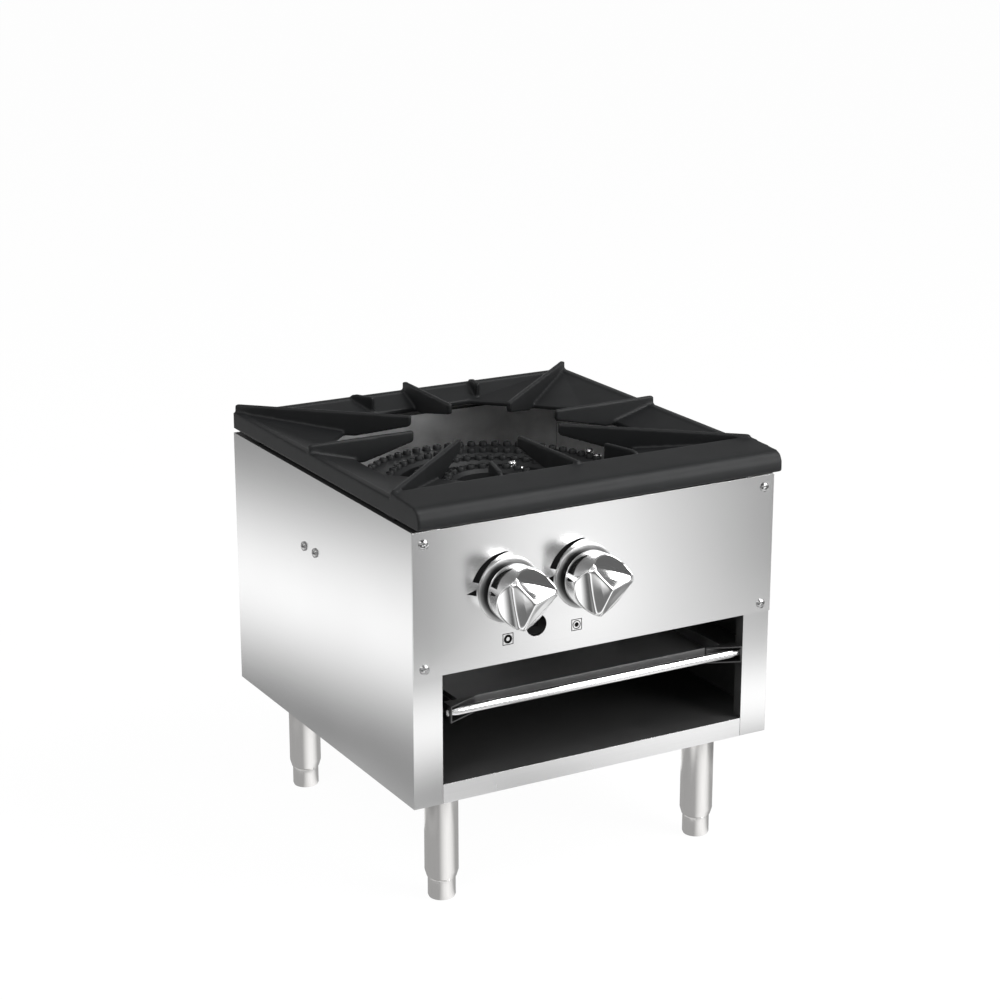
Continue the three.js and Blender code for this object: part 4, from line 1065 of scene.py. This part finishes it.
def body_bands(x, y):
    """A dark band round the body, a bright one past it, and a pool of light well ahead of it."""
    beside = (x.size() - HALF_WIDTH).most(0.0)
    beyond = (y.size() - HALF_DEPTH).most(0.0)
    ahead = (y + HALF_DEPTH) * -1.0
    near = beside.share(CORNER, 0.0)
    away = beside.most(beyond * near)
    side = (away + (beyond - SIDE_LEVEL) * SIDE_LEAN).through(BESIDE_BODY, BRIGHTEST)
    front = (beyond + x.size() * FRONT_LEAN).through(AHEAD_OF_BODY, BRIGHTEST)
    pool = (x + y * POOL_SLANT + POOL_FROM).through(ACROSS_POOL, BRIGHTEST)
    front = front.toward(pool, ahead.share(*POOL_AHEAD))
    bands = side.toward(front, ahead.share(*SIDE_TO_FRONT))
    return bands, (beside * LEG_REGION_SIDES).most(beyond).share(*LEG_REGION)


def leg_glow(x, y):
    """Light on the floor ahead of each leg."""
    middle_row, half_spread = LEG_ROWS
    across = x - x.sign() * LEG_ASIDE
    behind = y - middle_row
    along = behind - behind.sign() * half_spread
    reach = (across * across + along * along).root()
    lean = across * LEG_LIGHT[0] - along * LEG_LIGHT[1]
    lit = (lean / reach.most(LEG_CENTRE)).share(*LEG_LIGHT_WIDTH)
    return lit * LEG_GLOW + LEG_SHADE


def floor_glow(finish):
    """How bright each place on the floor looks in metal: the legs' glow, and the bands round it."""
    axes = add_node(finish.tree, "ShaderNodeSeparateXYZ", {0: finish.place})
    x, y = Field(finish.tree, axes.outputs["X"]), Field(finish.tree, axes.outputs["Y"])
    bands, outside = body_bands(x, y)
    return leg_glow(x, y).toward(bands, outside).socket


FLOOR_SIZE = 24
FLOOR_TONE = 0.9
FLOOR_WHITE = 1.03  # what the camera sees of the floor is nearly all plain white
FLOOR_WHITE_SHARE = 0.93


def make_floor():
    deselect()
    bpy.ops.mesh.primitive_plane_add(size=FLOOR_SIZE, location=(0, 0, -0.5 * MM))
    floor = bpy.context.active_object
    floor.name = "studio_floor"
    finish = Finish("pale_floor")
    tree = finish.tree
    finish.give("Base Color", (*grey(FLOOR_TONE), 1))
    finish.give("Roughness", 0.9)
    finish.give("Specular IOR Level", 0.0)
    path = add_node(tree, "ShaderNodeLightPath", {})
    white = add_node(tree, "ShaderNodeEmission", {"Strength": FLOOR_WHITE})
    lit = add_node(tree, "ShaderNodeEmission", {"Strength": floor_glow(finish)})
    whitened = (Field(tree, path.outputs["Is Camera Ray"]) * FLOOR_WHITE_SHARE).socket
    plain = finish.shader.outputs["BSDF"]
    shown = mixed_shader(tree, whitened, plain, white.outputs["Emission"])
    surface = mixed_shader(tree, path.outputs["Is Glossy Ray"], shown, lit.outputs["Emission"])
    tree.links.new(surface, tree.nodes["Material Output"].inputs["Surface"])
    floor.data.materials.append(finish.material)


AMBIENT = 0.42
# The room as it shows in metal, from straight down to straight up
ROOM_TONES = [(0.0, 0.9), (0.12, 0.9), (0.3, 0.24), (0.6, 0.12), (0.8, 0.5), (1.0, 0.9)]


def make_world():
    """White to the camera, a room of bright and dark bands to metal, and an even light to all."""
    world = bpy.data.worlds.new("studio")
    bpy.context.scene.world = world
    world.use_nodes = True
    tree = world.node_tree
    light = tree.nodes["Background"]
    set_input(tree, light, "Color", (1, 1, 1, 1))
    set_input(tree, light, "Strength", AMBIENT)
    white = add_node(tree, "ShaderNodeBackground", {"Strength": 1.0})
    toward = add_node(tree, "ShaderNodeTexCoord", {})
    axes = add_node(tree, "ShaderNodeSeparateXYZ", {0: toward.outputs["Generated"]})
    tones = grey_ramp(tree, axes.outputs["Z"], ROOM_TONES)
    room = add_node(tree, "ShaderNodeBackground", {"Color": tones})
    path = add_node(tree, "ShaderNodeLightPath", {})
    glossy = Field(tree, path.outputs["Is Glossy Ray"])
    shiny = glossy.most(Field(tree, path.outputs["Is Transmission Ray"]))
    plain, banded = light.outputs["Background"], room.outputs["Background"]
    near = mixed_shader(tree, shiny.socket, plain, banded)
    seen = mixed_shader(tree, path.outputs["Is Camera Ray"], near, white.outputs["Background"])
    tree.links.new(seen, tree.nodes["World Output"].inputs["Surface"])


def make_studio():
    make_floor()
    make_world()
    for settings in LAMPS:
        make_lamp(*settings)
    bpy.context.scene.view_settings.view_transform = "Standard"


make_camera()
make_casing()
make_screws()
make_knobs()
make_marks()
make_icons()
make_legs()
make_tray()
make_burners()
make_pilots()
make_grate()
dress_frame()
make_studio()
